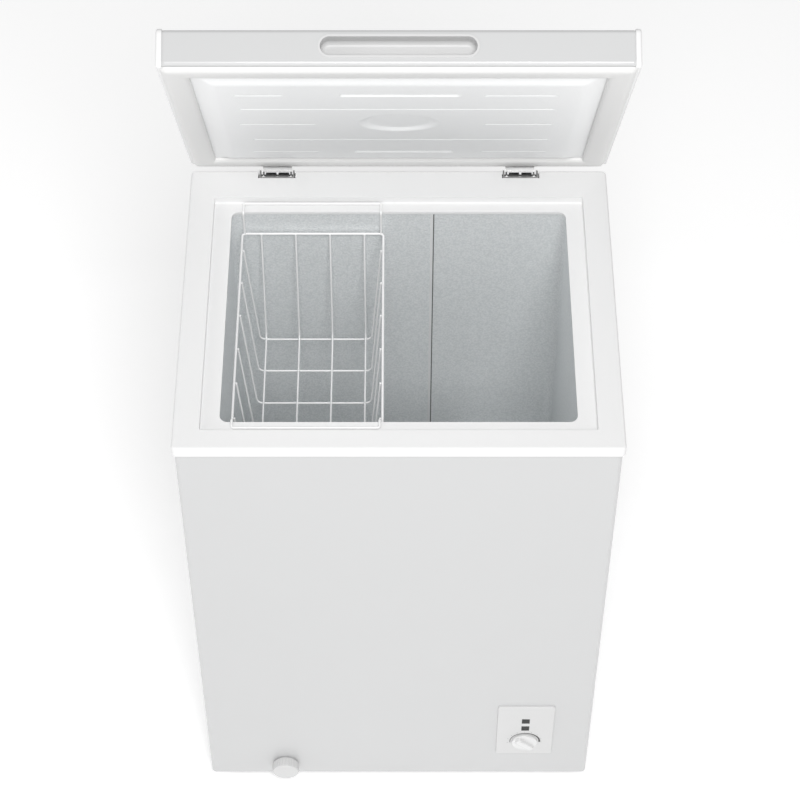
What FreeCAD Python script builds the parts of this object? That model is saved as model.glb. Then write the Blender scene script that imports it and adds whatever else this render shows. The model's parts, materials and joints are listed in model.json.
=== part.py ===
"""Small chest freezer, modelled with its lid open.

The cabinet stands on the XY plane: x runs to the right, the front faces -y and z is up. The origin is
on the floor, under the middle of the cabinet. The lid is modelled closed and then turned about its
hinge pins, so that every piece of it is named by its closed position. All sizes are in millimetres.
"""
import FreeCAD, Part
import math
import os

import Sketcher
from FreeCAD import Placement, Rotation, Vector

doc = FreeCAD.newDocument("ChestFreezer")

# ---------------------------------------------------------------------------------------------------
# Driving sizes
# ---------------------------------------------------------------------------------------------------
SIZES = {
    # cabinet
    "width": 545.0,            # over the top frame
    "depth": 463.0,            # over the top frame
    "body_height": 765.3,      # from the lower edge of the shell to the top of the frame
    "foot_height": 18.0,
    "foot_radius": 21.0,
    "foot_inset": 42.0,        # foot centre from the outside of the shell
    "overhang": 3.0,           # of the top frame past the shell, and so the thickness of its skirt
    "steel": 1.0,              # sheet of the shell, the back panel and the partition
    "shell_corner": 6.0,
    "base_sheet": 1.5,
    # top frame
    "frame_corner": 6.0,
    "frame_edge": 3.0,         # rounding of the upper outer edge
    "frame_skirt": 15.0,
    "frame_wall": 2.6,
    "band_side": 32.5,         # flat band that the lid's gasket closes on
    "band_front": 29.0,
    "band_rear": 49.0,
    "ledge_drop": 10.0,        # ledge that carries the basket, below the band
    "ledge_side": 23.0,
    "ledge_front": 20.1,
    "ledge_rear": 16.9,
    "lip_depth": 4.0,          # lip that covers the upper edge of the tank
    "lip_wall": 2.5,
    "opening_corner": 10.0,
    # tank
    "liner_sheet": 1.0,
    "floor_height": 62.0,      # tank floor above the lower edge of the shell
    "tank_corner": 14.0,
    "step_width": 124.5,       # step over the compressor
    "step_height": 188.0,
    "tube_gap": 7.0,           # room for the tubes between the foam and the sheets
    "seam_offset": 46.4,       # edge of the liner's lap seam, right of the middle
    # compressor compartment
    "bay_width": 130.0,
    "bay_height": 200.0,
    # lid
    "lid_height": 42.5,
    "lid_overhang": 1.0,       # past the frame at the sides
    "lid_overhang_y": 1.5,     # and at the front and the rear
    "lid_gap": 7.0,            # from the frame to the lid's rim
    "lid_sheet": 1.5,
    "lid_corner": 9.0,
    "lid_edge": 5.0,
    "lid_flange": 10.0,        # rim turned in under the lid
    "gasket_inset": 3.0,
    "gasket_width": 33.0,
    "gasket_clearance": 0.3,
    "panel_rise": 7.0,         # how far the inner panel stands out of the rim's plane
    "panel_slope": 26.0,       # width of its sloping border
    "groove_narrow": 1.9,      # radius of the pressed grooves
    "groove_wide": 4.6,
    "dish_depth": 4.0,         # oval dish in the middle of the panel
    "dish_half_x": 50.0,
    "dish_half_y": 41.0,
    "dish_front": 5.0,
    "end_grip": 6.0,           # width of the end mouldings on the lid's front and top
    "end_proud": 1.5,
    "handle_width": 178.0,
    "handle_height": 22.0,
    "handle_level": 23.0,      # middle of the handle recess above the lid's rim
    "handle_depth": 22.0,
    "cup_wall": 1.5,
    "open_angle": 59.0,
    # hinges
    "hinge_offset": 160.0,     # of each hinge from the middle
    "pivot_inset": 0.35,       # pin in front of the frame's rear face
    "pivot_drop": 11.3,        # pin below the top of the frame
    "pin_radius": 3.0,
    "pin_clearance": 0.06,
    "bracket_half": 23.0,
    "bracket_sheet": 2.0,
    "notch_clearance": 1.5,
    "notch_depth": 13.7,
    "notch_height": 28.0,
    # basket
    "basket_width": 185.0,     # between wire centres
    "basket_side_gap": 12.0,   # from the left edge of the opening to the ring's centre
    "basket_wall_gap": 1.3,    # between the ring and the front and rear edges of the opening
    "ring_wire": 1.6,          # radius
    "mesh_wire": 1.25,         # radius
    "ring_drop": 48.0,         # ring below the top of the frame
    "basket_bottom_drop": 224.3,
    "basket_taper": 14.0,
    "basket_end_slope": 28.0,
    "cross_end": 31.85,        # first and last cross wire inside the ring's ends
    "length_spacing": 45.0,
    "hanger_reach": 3.2,       # hanger wire's centre from the edge of the flat band
    "ledge_clearance": 0.3,
    # control panel
    "panel_width": 79.0,
    "panel_height": 124.0,
    "panel_inset": 91.9,       # middle of the panel inside the right side of the cabinet
    "panel_level": 117.5,      # middle of the panel above the lower edge of the shell
    "panel_proud": 2.5,
    "panel_rim": 8.0,
    "knob_level": 89.7,
    "knob_radius": 18.0,
    "shaft_radius": 3.0,
    "lamp_side": 11.0,
    "lamp_level": 133.2,       # middle between the two lamps
    "lamp_spacing": 18.8,
    # drain
    "drain_inset": 107.6,      # drain inside the left side of the cabinet
    "drain_level": 24.4,
    "drain_pipe": 11.0,        # outer radius of the fixed pipe
    "drain_tube": 8.7,         # outer radius of the sliding tube
    "drain_wall": 1.5,
    "condenser_stop": 54.4,    # ends of the condenser's runs in front of the back panel
    "drain_dial": 18.5,        # radius
    "drain_inlet": 78.5,       # tank outlet behind the cabinet's front
    # cooling circuit
    "coil_tube": 3.0,          # radius
    "coil_bend": 16.0,         # condenser's bends at the front corners
    "coil_spacing": 56.0,
    "coil_bottom": 300.0,
    "compressor_radius": 50.0,
    "compressor_height": 140.0,
    "compressor_y": 110.0,
    "cord_bore": 3.5,          # radius of the gland's bore for the power cord
}
COIL_RUNS = 8
DIAL_RIBS = 24

sheet = doc.addObject("Spreadsheet::Sheet", "Sizes")
for row, (alias, number) in enumerate(SIZES.items(), start=1):
    sheet.set(f"A{row}", str(number))
    sheet.setAlias(f"A{row}", alias)
doc.recompute()


class Dim:
    """A size that carries its number and the spreadsheet expression behind it."""

    def __init__(self, number, text=None):
        self.number = float(number)
        self.text = text or f"({self.number:.6f})"

    @classmethod
    def of(cls, other):
        return other if isinstance(other, cls) else cls(other)

    def __float__(self):
        return self.number

    def __neg__(self):
        return Dim(-self.number, f"(0 - {self.text})")

    def __add__(self, other):
        other = Dim.of(other)
        return Dim(self.number + other.number, f"({self.text} + {other.text})")

    def __sub__(self, other):
        other = Dim.of(other)
        return Dim(self.number - other.number, f"({self.text} - {other.text})")

    def __mul__(self, other):
        other = Dim.of(other)
        return Dim(self.number * other.number, f"({self.text} * {other.text})")

    def __truediv__(self, other):
        other = Dim.of(other)
        return Dim(self.number / other.number, f"({self.text} / {other.text})")

    def __radd__(self, other):
        return Dim.of(other) + self

    def __rsub__(self, other):
        return Dim.of(other) - self

    def __rmul__(self, other):
        return Dim.of(other) * self


def size(alias):
    """The named size as it stands in the spreadsheet."""
    return Dim(sheet.get(alias), f"Sizes.{alias}")


def bind(thing, prop, value):
    """Ties a property to the spreadsheet expression of a size."""
    thing.setExpression(prop, Dim.of(value).text)


# ---------------------------------------------------------------------------------------------------
# Small helpers that make the solids
# ---------------------------------------------------------------------------------------------------
AXIS_TURN = {
    "x": Rotation(Vector(0, 1, 0), 90),
    "y": Rotation(Vector(1, 0, 0), -90),
    "z": Rotation(),
}


def place(thing, x, y, z):
    for axis, value in zip("xyz", (x, y, z)):
        bind(thing, "Placement.Base." + axis, value)


def block(name, x, y, z):
    """A box between two values on each axis."""
    solid = doc.addObject("Part::Box", name)
    for prop, (low, high) in zip(("Length", "Width", "Height"), (x, y, z)):
        bind(solid, prop, Dim.of(high) - low)
    place(solid, x[0], y[0], z[0])
    return solid


def rod(name, axis, radius, start, length):
    """A cylinder that begins at the point start and runs along an axis."""
    solid = doc.addObject("Part::Cylinder", name)
    solid.Placement = Placement(Vector(), AXIS_TURN[axis])
    bind(solid, "Radius", radius)
    bind(solid, "Height", length)
    place(solid, *start)
    return solid


def fuse(name, *parts):
    result = doc.addObject("Part::MultiFuse", name)
    result.Shapes = list(parts)
    result.Refine = True
    return result


def cut(name, base, *tools):
    result = doc.addObject("Part::Cut", name)
    result.Base = base
    result.Tool = tools[0] if len(tools) == 1 else fuse(name + "_tools", *tools)
    return result


def group(name, parts):
    """Separate solids that share one node."""
    result = doc.addObject("Part::Compound", name)
    result.Links = list(parts)
    return result


def rounded(name, solid, *rules):
    """Rounds the edges that each (radius, test) rule picks; the test gets an edge's middle and direction."""
    doc.recompute()
    picked = []
    for number, edge in enumerate(solid.Shape.Edges, start=1):
        middle = edge.valueAt((edge.FirstParameter + edge.LastParameter) / 2)
        along = edge.tangentAt((edge.FirstParameter + edge.LastParameter) / 2)
        for radius, test in rules:
            if test(middle, along):
                picked.append((number, float(radius), float(radius)))
                break
    result = doc.addObject("Part::Fillet", name)
    result.Base = solid
    result.Edges = picked
    return result


def upright(middle, along):
    return abs(along.z) > 0.9


def level_at(height):
    return lambda middle, along: abs(middle.z - float(height)) < 0.01 and abs(along.z) < 0.1


def soft_block(name, x, y, z, radius):
    """A box with its upright edges rounded."""
    return rounded(name, block(name + "_box", x, y, z), (radius, upright))


def body_sketch(body, role, name, offset=0):
    """A sketch on one of the body's own origin planes, moved off it by an offset."""
    sketch = body.newObject("Sketcher::SketchObject", name)
    plane = next(f for f in body.Origin.OriginFeatures if f.Role == role)
    sketch.AttachmentSupport = [(plane, "")]
    sketch.MapMode = "FlatFace"
    bind(sketch, "AttachmentOffset.Base.z", offset)
    return sketch


def outline(sketch, points):
    """A closed outline of straight lines, each corner placed by two sizes."""
    ends = [Vector(float(u), float(v), 0) for u, v in points]
    count = len(ends)
    for n in range(count):
        sketch.addGeometry(Part.LineSegment(ends[n], ends[(n + 1) % count]))
    for n in range(count):
        sketch.addConstraint(Sketcher.Constraint("Coincident", n, 2, (n + 1) % count, 1))
    for n, corner in enumerate(points):
        for kind, value in zip(("DistanceX", "DistanceY"), corner):
            index = sketch.addConstraint(Sketcher.Constraint(kind, -1, 1, n, 1, float(value)))
            sketch.renameConstraint(index, f"corner{n}{kind[-1]}")
            bind(sketch, f"Constraints.corner{n}{kind[-1]}", value)


def circle(sketch, radius, u=0, v=0):
    """A circle round a point of the sketch."""
    n = sketch.addGeometry(Part.Circle(Vector(float(u), float(v), 0), Vector(0, 0, 1), float(radius)))
    tag = f"circle{n}"
    for kind, value, args in (("Radius", radius, (n,)), ("DistanceX", u, (-1, 1, n, 3)),
                              ("DistanceY", v, (-1, 1, n, 3))):
        index = sketch.addConstraint(Sketcher.Constraint(kind, *args, float(value)))
        sketch.renameConstraint(index, tag + kind)
        bind(sketch, f"Constraints.{tag}{kind}", value)


def pad(body, name, sketch, length, backwards=False):
    feature = body.newObject("PartDesign::Pad", name)
    feature.Profile = sketch
    bind(feature, "Length", length)
    feature.Reversed = backwards
    return feature


def soften(body, name, radius, test):
    """Rounds the edges of a body that pass a test."""
    doc.recompute()
    base = body.Tip
    edges = [f"Edge{n}" for n, edge in enumerate(base.Shape.Edges, start=1) if test(edge)]
    feature = body.newObject("PartDesign::Fillet", name)
    feature.Base = (base, edges)
    feature.Radius = float(radius)
    return feature


def plate_body(name, role, points, offset, thickness, backwards=False):
    """A flat plate: an outline on an origin plane, padded to its thickness."""
    body = doc.addObject("PartDesign::Body", name)
    sketch = body_sketch(body, role, name + "_outline", offset)
    outline(sketch, points)
    pad(body, name + "_plate", sketch, thickness, backwards)
    return body


def bent_path(points, radius, closed=False):
    """Straight runs joined by tangent arcs of one radius."""
    points = [Vector(*(float(value) for value in point)) for point in points]
    count = len(points)
    corners = range(count) if closed else range(1, count - 1)
    starts, ends, edges = {}, {}, []
    for n in corners:
        here, before, after = points[n], points[n - 1], points[(n + 1) % count]
        towards, away = (before - here).normalize(), (after - here).normalize()
        if (towards + away).Length < 1e-6:
            continue
        half_turn = (math.pi - towards.getAngle(away)) / 2
        setback = float(radius) * math.tan(half_turn)
        starts[n], ends[n] = here + towards * setback, here + away * setback
        inward = (towards + away).normalize()
        middle = here + inward * (float(radius) / math.cos(half_turn) - float(radius))
        edges.append((n, Part.Arc(starts[n], middle, ends[n]).toShape()))
    arcs = dict(edges)
    wire = []
    for n in range(count if closed else count - 1):
        following = (n + 1) % count
        if n in arcs:
            wire.append(arcs[n])
        run = (ends.get(n, points[n]), starts.get(following, points[following]))
        if (run[1] - run[0]).Length > 1e-6:
            wire.append(Part.LineSegment(*run).toShape())
    return Part.Wire(wire)


def tube_shape(path, radius):
    """A round section carried along a path."""
    start = path.Edges[0].valueAt(path.Edges[0].FirstParameter)
    along = path.Edges[0].tangentAt(path.Edges[0].FirstParameter)
    section = Part.Wire(Part.makeCircle(float(radius), start, along))
    return path.makePipeShell([section], True, False)


def made(name, shape):
    """A piece whose shape has been worked out here from the sizes."""
    piece = doc.addObject("Part::Feature", name)
    piece.Shape = shape
    return piece


def bent_tube(name, points, radius, bend, closed=False):
    return made(name, tube_shape(bent_path(points, bend, closed), radius))


def mirrored_pair(value):
    return (-value, value)


# ---------------------------------------------------------------------------------------------------
# Levels and faces that the pieces share
# ---------------------------------------------------------------------------------------------------
bottom = size("foot_height")
top = bottom + size("body_height")
frame_x = size("width") / 2
frame_y = size("depth") / 2
shell_x = frame_x - size("overhang")
shell_y = frame_y - size("overhang")
inside_x = shell_x - size("steel")
inside_y = shell_y - size("steel")

recess_x = frame_x - size("band_side")
recess_front = size("band_front") - frame_y
recess_rear = frame_y - size("band_rear")
open_x = recess_x - size("ledge_side")
open_front = recess_front + size("ledge_front")
open_rear = recess_rear - size("ledge_rear")
ledge = top - size("ledge_drop")

tank_x = open_x + size("lip_wall")
tank_front = open_front - size("lip_wall")
tank_rear = open_rear + size("lip_wall")
tank_floor = bottom + size("floor_height")
tank_top = ledge - size("frame_wall")
step_x = tank_x - size("step_width")
step_top = tank_floor + size("step_height")

bay_x = inside_x - size("bay_width")
base_top = bottom + size("base_sheet")
bay_top = base_top + size("bay_height")

rim = top + size("lid_gap")
lid_top = rim + size("lid_height")
lid_x = frame_x + size("lid_overhang")
lid_y = frame_y + size("lid_overhang_y")
gasket_x = lid_x - size("gasket_inset") - size("gasket_width")
gasket_y = lid_y - size("gasket_inset") - size("gasket_width")

pivot_y = frame_y - size("pivot_inset")
pivot_z = top - size("pivot_drop")
notch_y = frame_y - size("notch_depth")
notch_half = size("bracket_half") + size("notch_clearance")
sheet_2 = size("bracket_sheet")

lid_turn = Placement(Vector(), Rotation(Vector(1, 0, 0), -float(size("open_angle"))),
                     Vector(0, float(pivot_y), float(pivot_z)))

pieces = {}


def keep(name, piece, in_lid=False):
    """Names a finished piece; the lid's pieces are turned open about the hinge pins."""
    piece.Label = name
    pieces[name] = piece
    if in_lid:
        piece.Placement = lid_turn.multiply(piece.Placement)


# head radius, head height, shank radius, shank length
BRACKET_SCREW = (4.2, 2.2, 1.8, 8.0)
LEAF_SCREW = (4.2, 2.2, 1.8, 9.0)
GRILLE_SCREW = (3.4, 1.8, 1.5, 6.0)


def back_screws(name, places, kind):
    """Pan-head screws driven forwards from the rear; the places are points on the sheet they hold."""
    head_radius, head_height, shank_radius, shank_length = kind
    screws = []
    for n, (x, y, z) in enumerate(places):
        head = rod(f"{name}_head{n}", "y", head_radius, (x, y, z), head_height)
        shank = rod(f"{name}_shank{n}", "y", shank_radius, (x, y - shank_length, z), shank_length)
        screws.append(fuse(f"{name}_screw{n}", head, shank))
    return group(name, screws)


# ---------------------------------------------------------------------------------------------------
# Hinges: fixed brackets, pins and springs stay with the cabinet, the leaves turn with the lid
# ---------------------------------------------------------------------------------------------------
hinge_centres = {"left": -size("hinge_offset"), "right": size("hinge_offset")}
bracket_face = shell_y + sheet_2
plate_foot = top - 90
plate_head = top - 27
leaf_half = size("bracket_half") - 2 * sheet_2
EAR_GAP = 0.7                  # of the ears and the front wall below the top of the frame
ear_front = notch_y + 0.9
ear_foot = pivot_z - 8
EAR_SHOULDER = 46              # where the ears leave the plate, below the top of the frame

bracket_screws = back_screws(
    "bracket_screws",
    [(x + dx, bracket_face, top - drop) for x in hinge_centres.values()
     for dx in (-14, 14) for drop in (42, 80)], BRACKET_SCREW)
keep("bracket_screws", bracket_screws)

notches = []
for side, centre in hinge_centres.items():
    notches.append(block(f"notch_{side}", (centre - notch_half, centre + notch_half),
                         (notch_y, frame_y + 1), (top - size("notch_height"), top + 1)))
    half = size("bracket_half")
    base = block(f"bracket_base_{side}", (centre - half, centre + half), (shell_y, bracket_face),
                 (plate_foot, plate_head))
    wall = block(f"bracket_wall_{side}", (centre - half, centre + half),
                 (ear_front, ear_front + sheet_2), (ear_foot, top - EAR_GAP))
    ear_outline = [
        (shell_y, top - 60), (pivot_y + 3, top - EAR_SHOULDER), (pivot_y + 8, pivot_z - 8),
        (pivot_y + 8, pivot_z + 4), (pivot_y + 1, top - EAR_GAP), (ear_front, top - EAR_GAP),
        (ear_front, ear_foot), (shell_y, ear_foot)]
    ears = []
    for hand, edge in (("outer", centre - half), ("inner", centre + half - sheet_2)):
        ear = plate_body(f"bracket_ear_{side}_{hand}", "YZ_Plane", ear_outline, 0, sheet_2)
        bind(ear, "Placement.Base.x", edge)
        ears.append(ear)
    bore = rod(f"bracket_bore_{side}", "x", size("pin_radius"), (centre - 30, pivot_y, pivot_z), 60)
    keep(f"hinge_bracket_{side}",
         cut(f"hinge_bracket_{side}", fuse(f"bracket_{side}", base, wall, *ears), bore, bracket_screws))

PIN_HEAD = 1.2                 # thickness; it has to stay inside the notch
PIN_HEAD_PROUD = 1.6
SPRING_PLAY = 1.1              # of the coil around the pin
SPRING_WIRE = 1.8
SPRING_GAP = 2.0               # between the coil and the leaf's arms
pins, springs = [], []
for side, centre in hinge_centres.items():
    reach = size("bracket_half") + PIN_HEAD
    pin = rod(f"pin_rod_{side}", "x", size("pin_radius"), (centre - reach, pivot_y, pivot_z), 2 * reach)
    head = rod(f"pin_head_{side}", "x", size("pin_radius") + PIN_HEAD_PROUD,
               (centre + size("bracket_half"), pivot_y, pivot_z), PIN_HEAD)
    pins.append(fuse(f"pin_{side}", pin, head))
    coil_half = leaf_half - sheet_2 - SPRING_GAP
    coil = rod(f"spring_body_{side}", "x", size("pin_radius") + SPRING_PLAY + SPRING_WIRE, (centre - coil_half, pivot_y, pivot_z),
               2 * coil_half)
    hollow = rod(f"spring_hollow_{side}", "x", size("pin_radius") + SPRING_PLAY,
                 (centre - coil_half - 1, pivot_y, pivot_z), 2 * coil_half + 2)
    springs.append(cut(f"spring_{side}", coil, hollow))
keep("hinge_pins", group("hinge_pins", pins))
keep("hinge_springs", group("hinge_springs", springs))

leaf_face = lid_y + sheet_2
leaf_screw_places = [(x + dx, leaf_face, rim + rise) for x in hinge_centres.values()
                     for dx in (-12, 12) for rise in (12, 31)]
leaf_screws = back_screws("leaf_screws", leaf_screw_places, LEAF_SCREW)
leaf_screw_holes = back_screws("leaf_screw_holes", leaf_screw_places, LEAF_SCREW)

for side, centre in hinge_centres.items():
    plate = block(f"leaf_plate_{side}", (centre - leaf_half, centre + leaf_half), (lid_y, leaf_face),
                  (top - 4, rim + 38))
    arm_outline = [
        (lid_y, rim + 34), (leaf_face, rim + 34), (leaf_face + 7, rim + 10), (pivot_y + 6, pivot_z),
        (pivot_y + 4, pivot_z - 4.5), (pivot_y, pivot_z - 6), (pivot_y - 4, pivot_z - 4.5),
        (pivot_y - 5.5, pivot_z), (lid_y, top - 4)]
    arms = []
    for hand, edge in (("outer", centre - leaf_half), ("inner", centre + leaf_half - sheet_2)):
        arm = plate_body(f"leaf_arm_{side}_{hand}", "YZ_Plane", arm_outline, 0, sheet_2)
        bind(arm, "Placement.Base.x", edge)
        arms.append(arm)
    bore = rod(f"leaf_bore_{side}", "x", size("pin_radius") + size("pin_clearance"),
               (centre - 30, pivot_y, pivot_z), 60)
    keep(f"hinge_leaf_{side}",
         cut(f"hinge_leaf_{side}", fuse(f"leaf_{side}", plate, *arms), bore, leaf_screw_holes),
         in_lid=True)

# ---------------------------------------------------------------------------------------------------
# Top frame: the plastic collar with its flat band, the ledge for the basket and the lip into the tank
# ---------------------------------------------------------------------------------------------------
under_frame = top - size("frame_skirt")
wall = size("frame_wall")
collar = rounded(
    "collar", block("collar_box", mirrored_pair(frame_x), mirrored_pair(frame_y), (under_frame, top)),
    (size("frame_corner"), upright))
collar = rounded("collar_edged", collar, (size("frame_edge"), level_at(top)))
underside = block("collar_underside", mirrored_pair(shell_x), mirrored_pair(shell_y),
                  (under_frame - 1, top - wall))
ledge_tub = soft_block("ledge_tub", mirrored_pair(recess_x + wall), (recess_front - wall, recess_rear + wall),
                       (ledge - wall, top - wall), size("frame_corner"))
lip_tub = soft_block("lip_tub", mirrored_pair(tank_x), (tank_front, tank_rear),
                     (ledge - size("lip_depth"), ledge), size("tank_corner"))
recess = soft_block("ledge_recess", mirrored_pair(recess_x), (recess_front, recess_rear),
                    (ledge, top + 1), size("frame_edge"))
recess = rounded("ledge_recess_soft", recess, (1.5, level_at(ledge)))
opening = soft_block("tank_opening", mirrored_pair(open_x), (open_front, open_rear),
                     (ledge - size("lip_depth") - 1, top + 1), size("opening_corner"))
hollow_collar = cut("hollow_collar", collar, underside)
frame = fuse("frame_body", hollow_collar, ledge_tub, lip_tub)
keep("top_frame", cut("top_frame", frame, recess, opening, *notches))

# ---------------------------------------------------------------------------------------------------
# Control panel, lamps, knob and thermostat
# ---------------------------------------------------------------------------------------------------
panel_x = shell_x - size("panel_inset")
panel_z = bottom + size("panel_level")
panel_half = size("panel_width") / 2
panel_half_z = size("panel_height") / 2
panel_face = -shell_y - size("panel_proud")
PANEL_FLANGE = 4.0             # of the bezel over the edge of its opening
shell_hole = block("panel_opening",
                   (panel_x - panel_half + PANEL_FLANGE, panel_x + panel_half - PANEL_FLANGE),
                   (-shell_y - 1, -inside_y + 1),
                   (panel_z - panel_half_z + PANEL_FLANGE, panel_z + panel_half_z - PANEL_FLANGE))
knob_z = bottom + size("knob_level")
lamp_z = bottom + size("lamp_level")
shaft_hole = size("shaft_radius") + 1

panel_body = doc.addObject("PartDesign::Body", "control_panel")
face_sketch = body_sketch(panel_body, "XZ_Plane", "panel_face", 0)
outline(face_sketch, [(-panel_half, -panel_half_z), (panel_half, -panel_half_z),
                      (panel_half, panel_half_z), (-panel_half, panel_half_z)])
pad(panel_body, "panel_plate", face_sketch, size("panel_proud"))
rim_sketch = body_sketch(panel_body, "XZ_Plane", "panel_rim_outline", 0)
rim_half = panel_half - PANEL_FLANGE
rim_half_z = panel_half_z - PANEL_FLANGE
outline(rim_sketch, [(-rim_half, -rim_half_z), (rim_half, -rim_half_z),
                     (rim_half, rim_half_z), (-rim_half, rim_half_z)])
pad(panel_body, "panel_rim", rim_sketch, size("panel_rim"), backwards=True)
soften(panel_body, "panel_corners", 3.5,
       lambda edge: abs(edge.tangentAt(edge.FirstParameter).y) > 0.9
       and abs(edge.CenterOfMass.x) > float(rim_half) + 1)
soften(panel_body, "panel_face_edge", 1.0,
       lambda edge: edge.BoundBox.YMax < -float(size("panel_proud")) + 0.01)
place(panel_body, panel_x, -shell_y, panel_z)

lamp_half = size("lamp_side") / 2
lamp_windows = {
    "power_lamp": lamp_z + size("lamp_spacing") / 2,
    "run_lamp": lamp_z - size("lamp_spacing") / 2,
}
lens_back = -shell_y + size("panel_rim") + 1
window_cuts = []
for name, level in lamp_windows.items():
    spread = (panel_x - lamp_half, panel_x + lamp_half), (level - lamp_half, level + lamp_half)
    window_cuts.append(block(name + "_window", spread[0], (panel_face - 1, lens_back), spread[1]))
    lens = block(name + "_lens", spread[0], (panel_face - 0.4, lens_back), spread[1])
    keep(name, rounded(name, lens, (0.3, lambda middle, along: middle.y < float(panel_face - 0.3))))
holder_back = lens_back + 10
keep("lamp_holder", block("lamp_holder", (panel_x - 11, panel_x + 11), (lens_back, holder_back),
                          (lamp_z - size("lamp_spacing"), lamp_z + size("lamp_spacing"))))
pocket = block("panel_pocket", (panel_x - rim_half + 2, panel_x + rim_half - 2),
               (-shell_y + 0.5, -shell_y + size("panel_rim") + 1),
               (panel_z - rim_half_z + 2, panel_z + rim_half_z - 2))
shaft_cut = rod("panel_shaft_hole", "y", shaft_hole, (panel_x, panel_face - 1, knob_z), 20)
keep("control_panel", cut("control_panel_cut", panel_body, pocket, shaft_cut, *window_cuts))

KNOB_GAP = 0.6
knob_back = panel_face - KNOB_GAP
KNOB_DISC = 3.5
KNOB_GRIP = 5.0
GRIP_HALF_WIDTH = 4.5
GRIP_INSET = 2.8               # of the grip's ends inside the disc
knob = doc.addObject("PartDesign::Body", "control_knob")
disc_sketch = body_sketch(knob, "XZ_Plane", "knob_disc_outline", 0)
circle(disc_sketch, size("knob_radius"))
pad(knob, "knob_disc", disc_sketch, KNOB_DISC)
grip_sketch = body_sketch(knob, "XZ_Plane", "knob_grip_outline", 0)
grip_half = size("knob_radius") - GRIP_INSET
outline(grip_sketch, [(-grip_half, -GRIP_HALF_WIDTH), (grip_half, -GRIP_HALF_WIDTH),
                      (grip_half, GRIP_HALF_WIDTH), (-grip_half, GRIP_HALF_WIDTH)])
pad(knob, "knob_grip", grip_sketch, KNOB_DISC + KNOB_GRIP)
soften(knob, "knob_rim", 1.0, lambda edge: edge.BoundBox.YMax < -KNOB_DISC + 0.01
       and edge.BoundBox.DiagonalLength > 2 * float(size("knob_radius")))
soften(knob, "knob_grip_edges", 1.8, lambda edge: edge.BoundBox.YMin < -KNOB_DISC - 1)
KNOB_POINTS_AT = 45            # the grip's slope in the position shown
knob.Placement = Placement(Vector(), Rotation(Vector(0, 1, 0), KNOB_POINTS_AT))
place(knob, panel_x, knob_back, knob_z)

thermostat_front = -shell_y + 16
shaft_end = thermostat_front + 12
shaft_start = knob_back - KNOB_DISC
shaft = rod("thermostat_shaft", "y", size("shaft_radius"), (panel_x, shaft_start, knob_z),
            shaft_end - shaft_start)
keep("thermostat_shaft", shaft)
keep("control_knob", cut("control_knob_cut", knob, shaft))
bush = rod("thermostat_bush", "y", size("shaft_radius") + size("pin_clearance"),
           (panel_x, thermostat_front - 10, knob_z), shaft_end - thermostat_front + 10.3)
case = soft_block("thermostat_case", (panel_x - 20, panel_x + 20),
                  (thermostat_front, thermostat_front + 34), (knob_z - 17, knob_z + 17), 2)
keep("thermostat", cut("thermostat", case, bush))
bracket_outline = block("thermostat_plate", (panel_x - rim_half + 2, panel_x + rim_half - 2),
                        (thermostat_front - 2, thermostat_front), (knob_z - 22, knob_z + 22))
bracket_legs = [
    block(f"thermostat_leg{n}", (x, x + 2), (-shell_y + 0.5, thermostat_front - 2), (knob_z - 22, knob_z + 22))
    for n, x in enumerate((panel_x - rim_half + 2, panel_x + rim_half - 4))]
bracket = fuse("thermostat_bracket_whole", bracket_outline, *bracket_legs)
bracket_hole = rod("thermostat_bracket_hole", "y", 6, (panel_x, thermostat_front - 5, knob_z), 10)
keep("thermostat_bracket", cut("thermostat_bracket", bracket, bracket_hole))

# ---------------------------------------------------------------------------------------------------
# Drain: an outlet in the tank floor, a pipe to the front, and a tube with a dial that pulls out of it
# ---------------------------------------------------------------------------------------------------
drain_x = size("drain_inset") - shell_x
drain_z = bottom + size("drain_level")
outlet_y = size("drain_inlet") - shell_y
pipe_radius = size("drain_pipe")
bore_radius = pipe_radius - size("drain_wall")
tank_under = tank_floor - size("liner_sheet")
drain_route = [(drain_x, outlet_y, tank_under), (drain_x, outlet_y, drain_z), (drain_x, -shell_y, drain_z)]
drain_void_route = [(drain_x, outlet_y, tank_under + 1), (drain_x, outlet_y, drain_z),
                    (drain_x, -shell_y - 1, drain_z)]
PIPE_BEND = 14.0
pipe_solid = tube_shape(bent_path(drain_route, PIPE_BEND), pipe_radius)
pipe_void = tube_shape(bent_path(drain_void_route, PIPE_BEND), bore_radius)
keep("drain_pipe", made("drain_pipe", pipe_solid.cut(pipe_void)))
pipe_outside = made("drain_pipe_outside", pipe_solid)
collar_ring = rod("drain_collar_ring", "y", pipe_radius + 5, (drain_x, -shell_y - 1.5, drain_z), 1.5)
collar_bore = rod("drain_collar_bore", "y", bore_radius, (drain_x, -shell_y - 3, drain_z), 6)
keep("drain_collar", cut("drain_collar", collar_ring, collar_bore))

DIAL_GAP = 0.6
DIAL_DEPTH = 13.0
dial_back = -shell_y - 1.5 - DIAL_GAP
dial_front = dial_back - DIAL_DEPTH
TUBE_IN = 46.0                 # of the sliding tube inside the pipe
tube_outer = rod("drain_tube_outer", "y", size("drain_tube"), (drain_x, dial_front + 3, drain_z),
                 TUBE_IN - dial_front - 3 + dial_back)
tube_hollow = rod("drain_tube_hollow", "y", size("drain_tube") - size("drain_wall"),
                  (drain_x, dial_front - 1, drain_z), TUBE_IN + 40)
keep("drain_tube", cut("drain_tube", tube_outer, tube_hollow))

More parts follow.
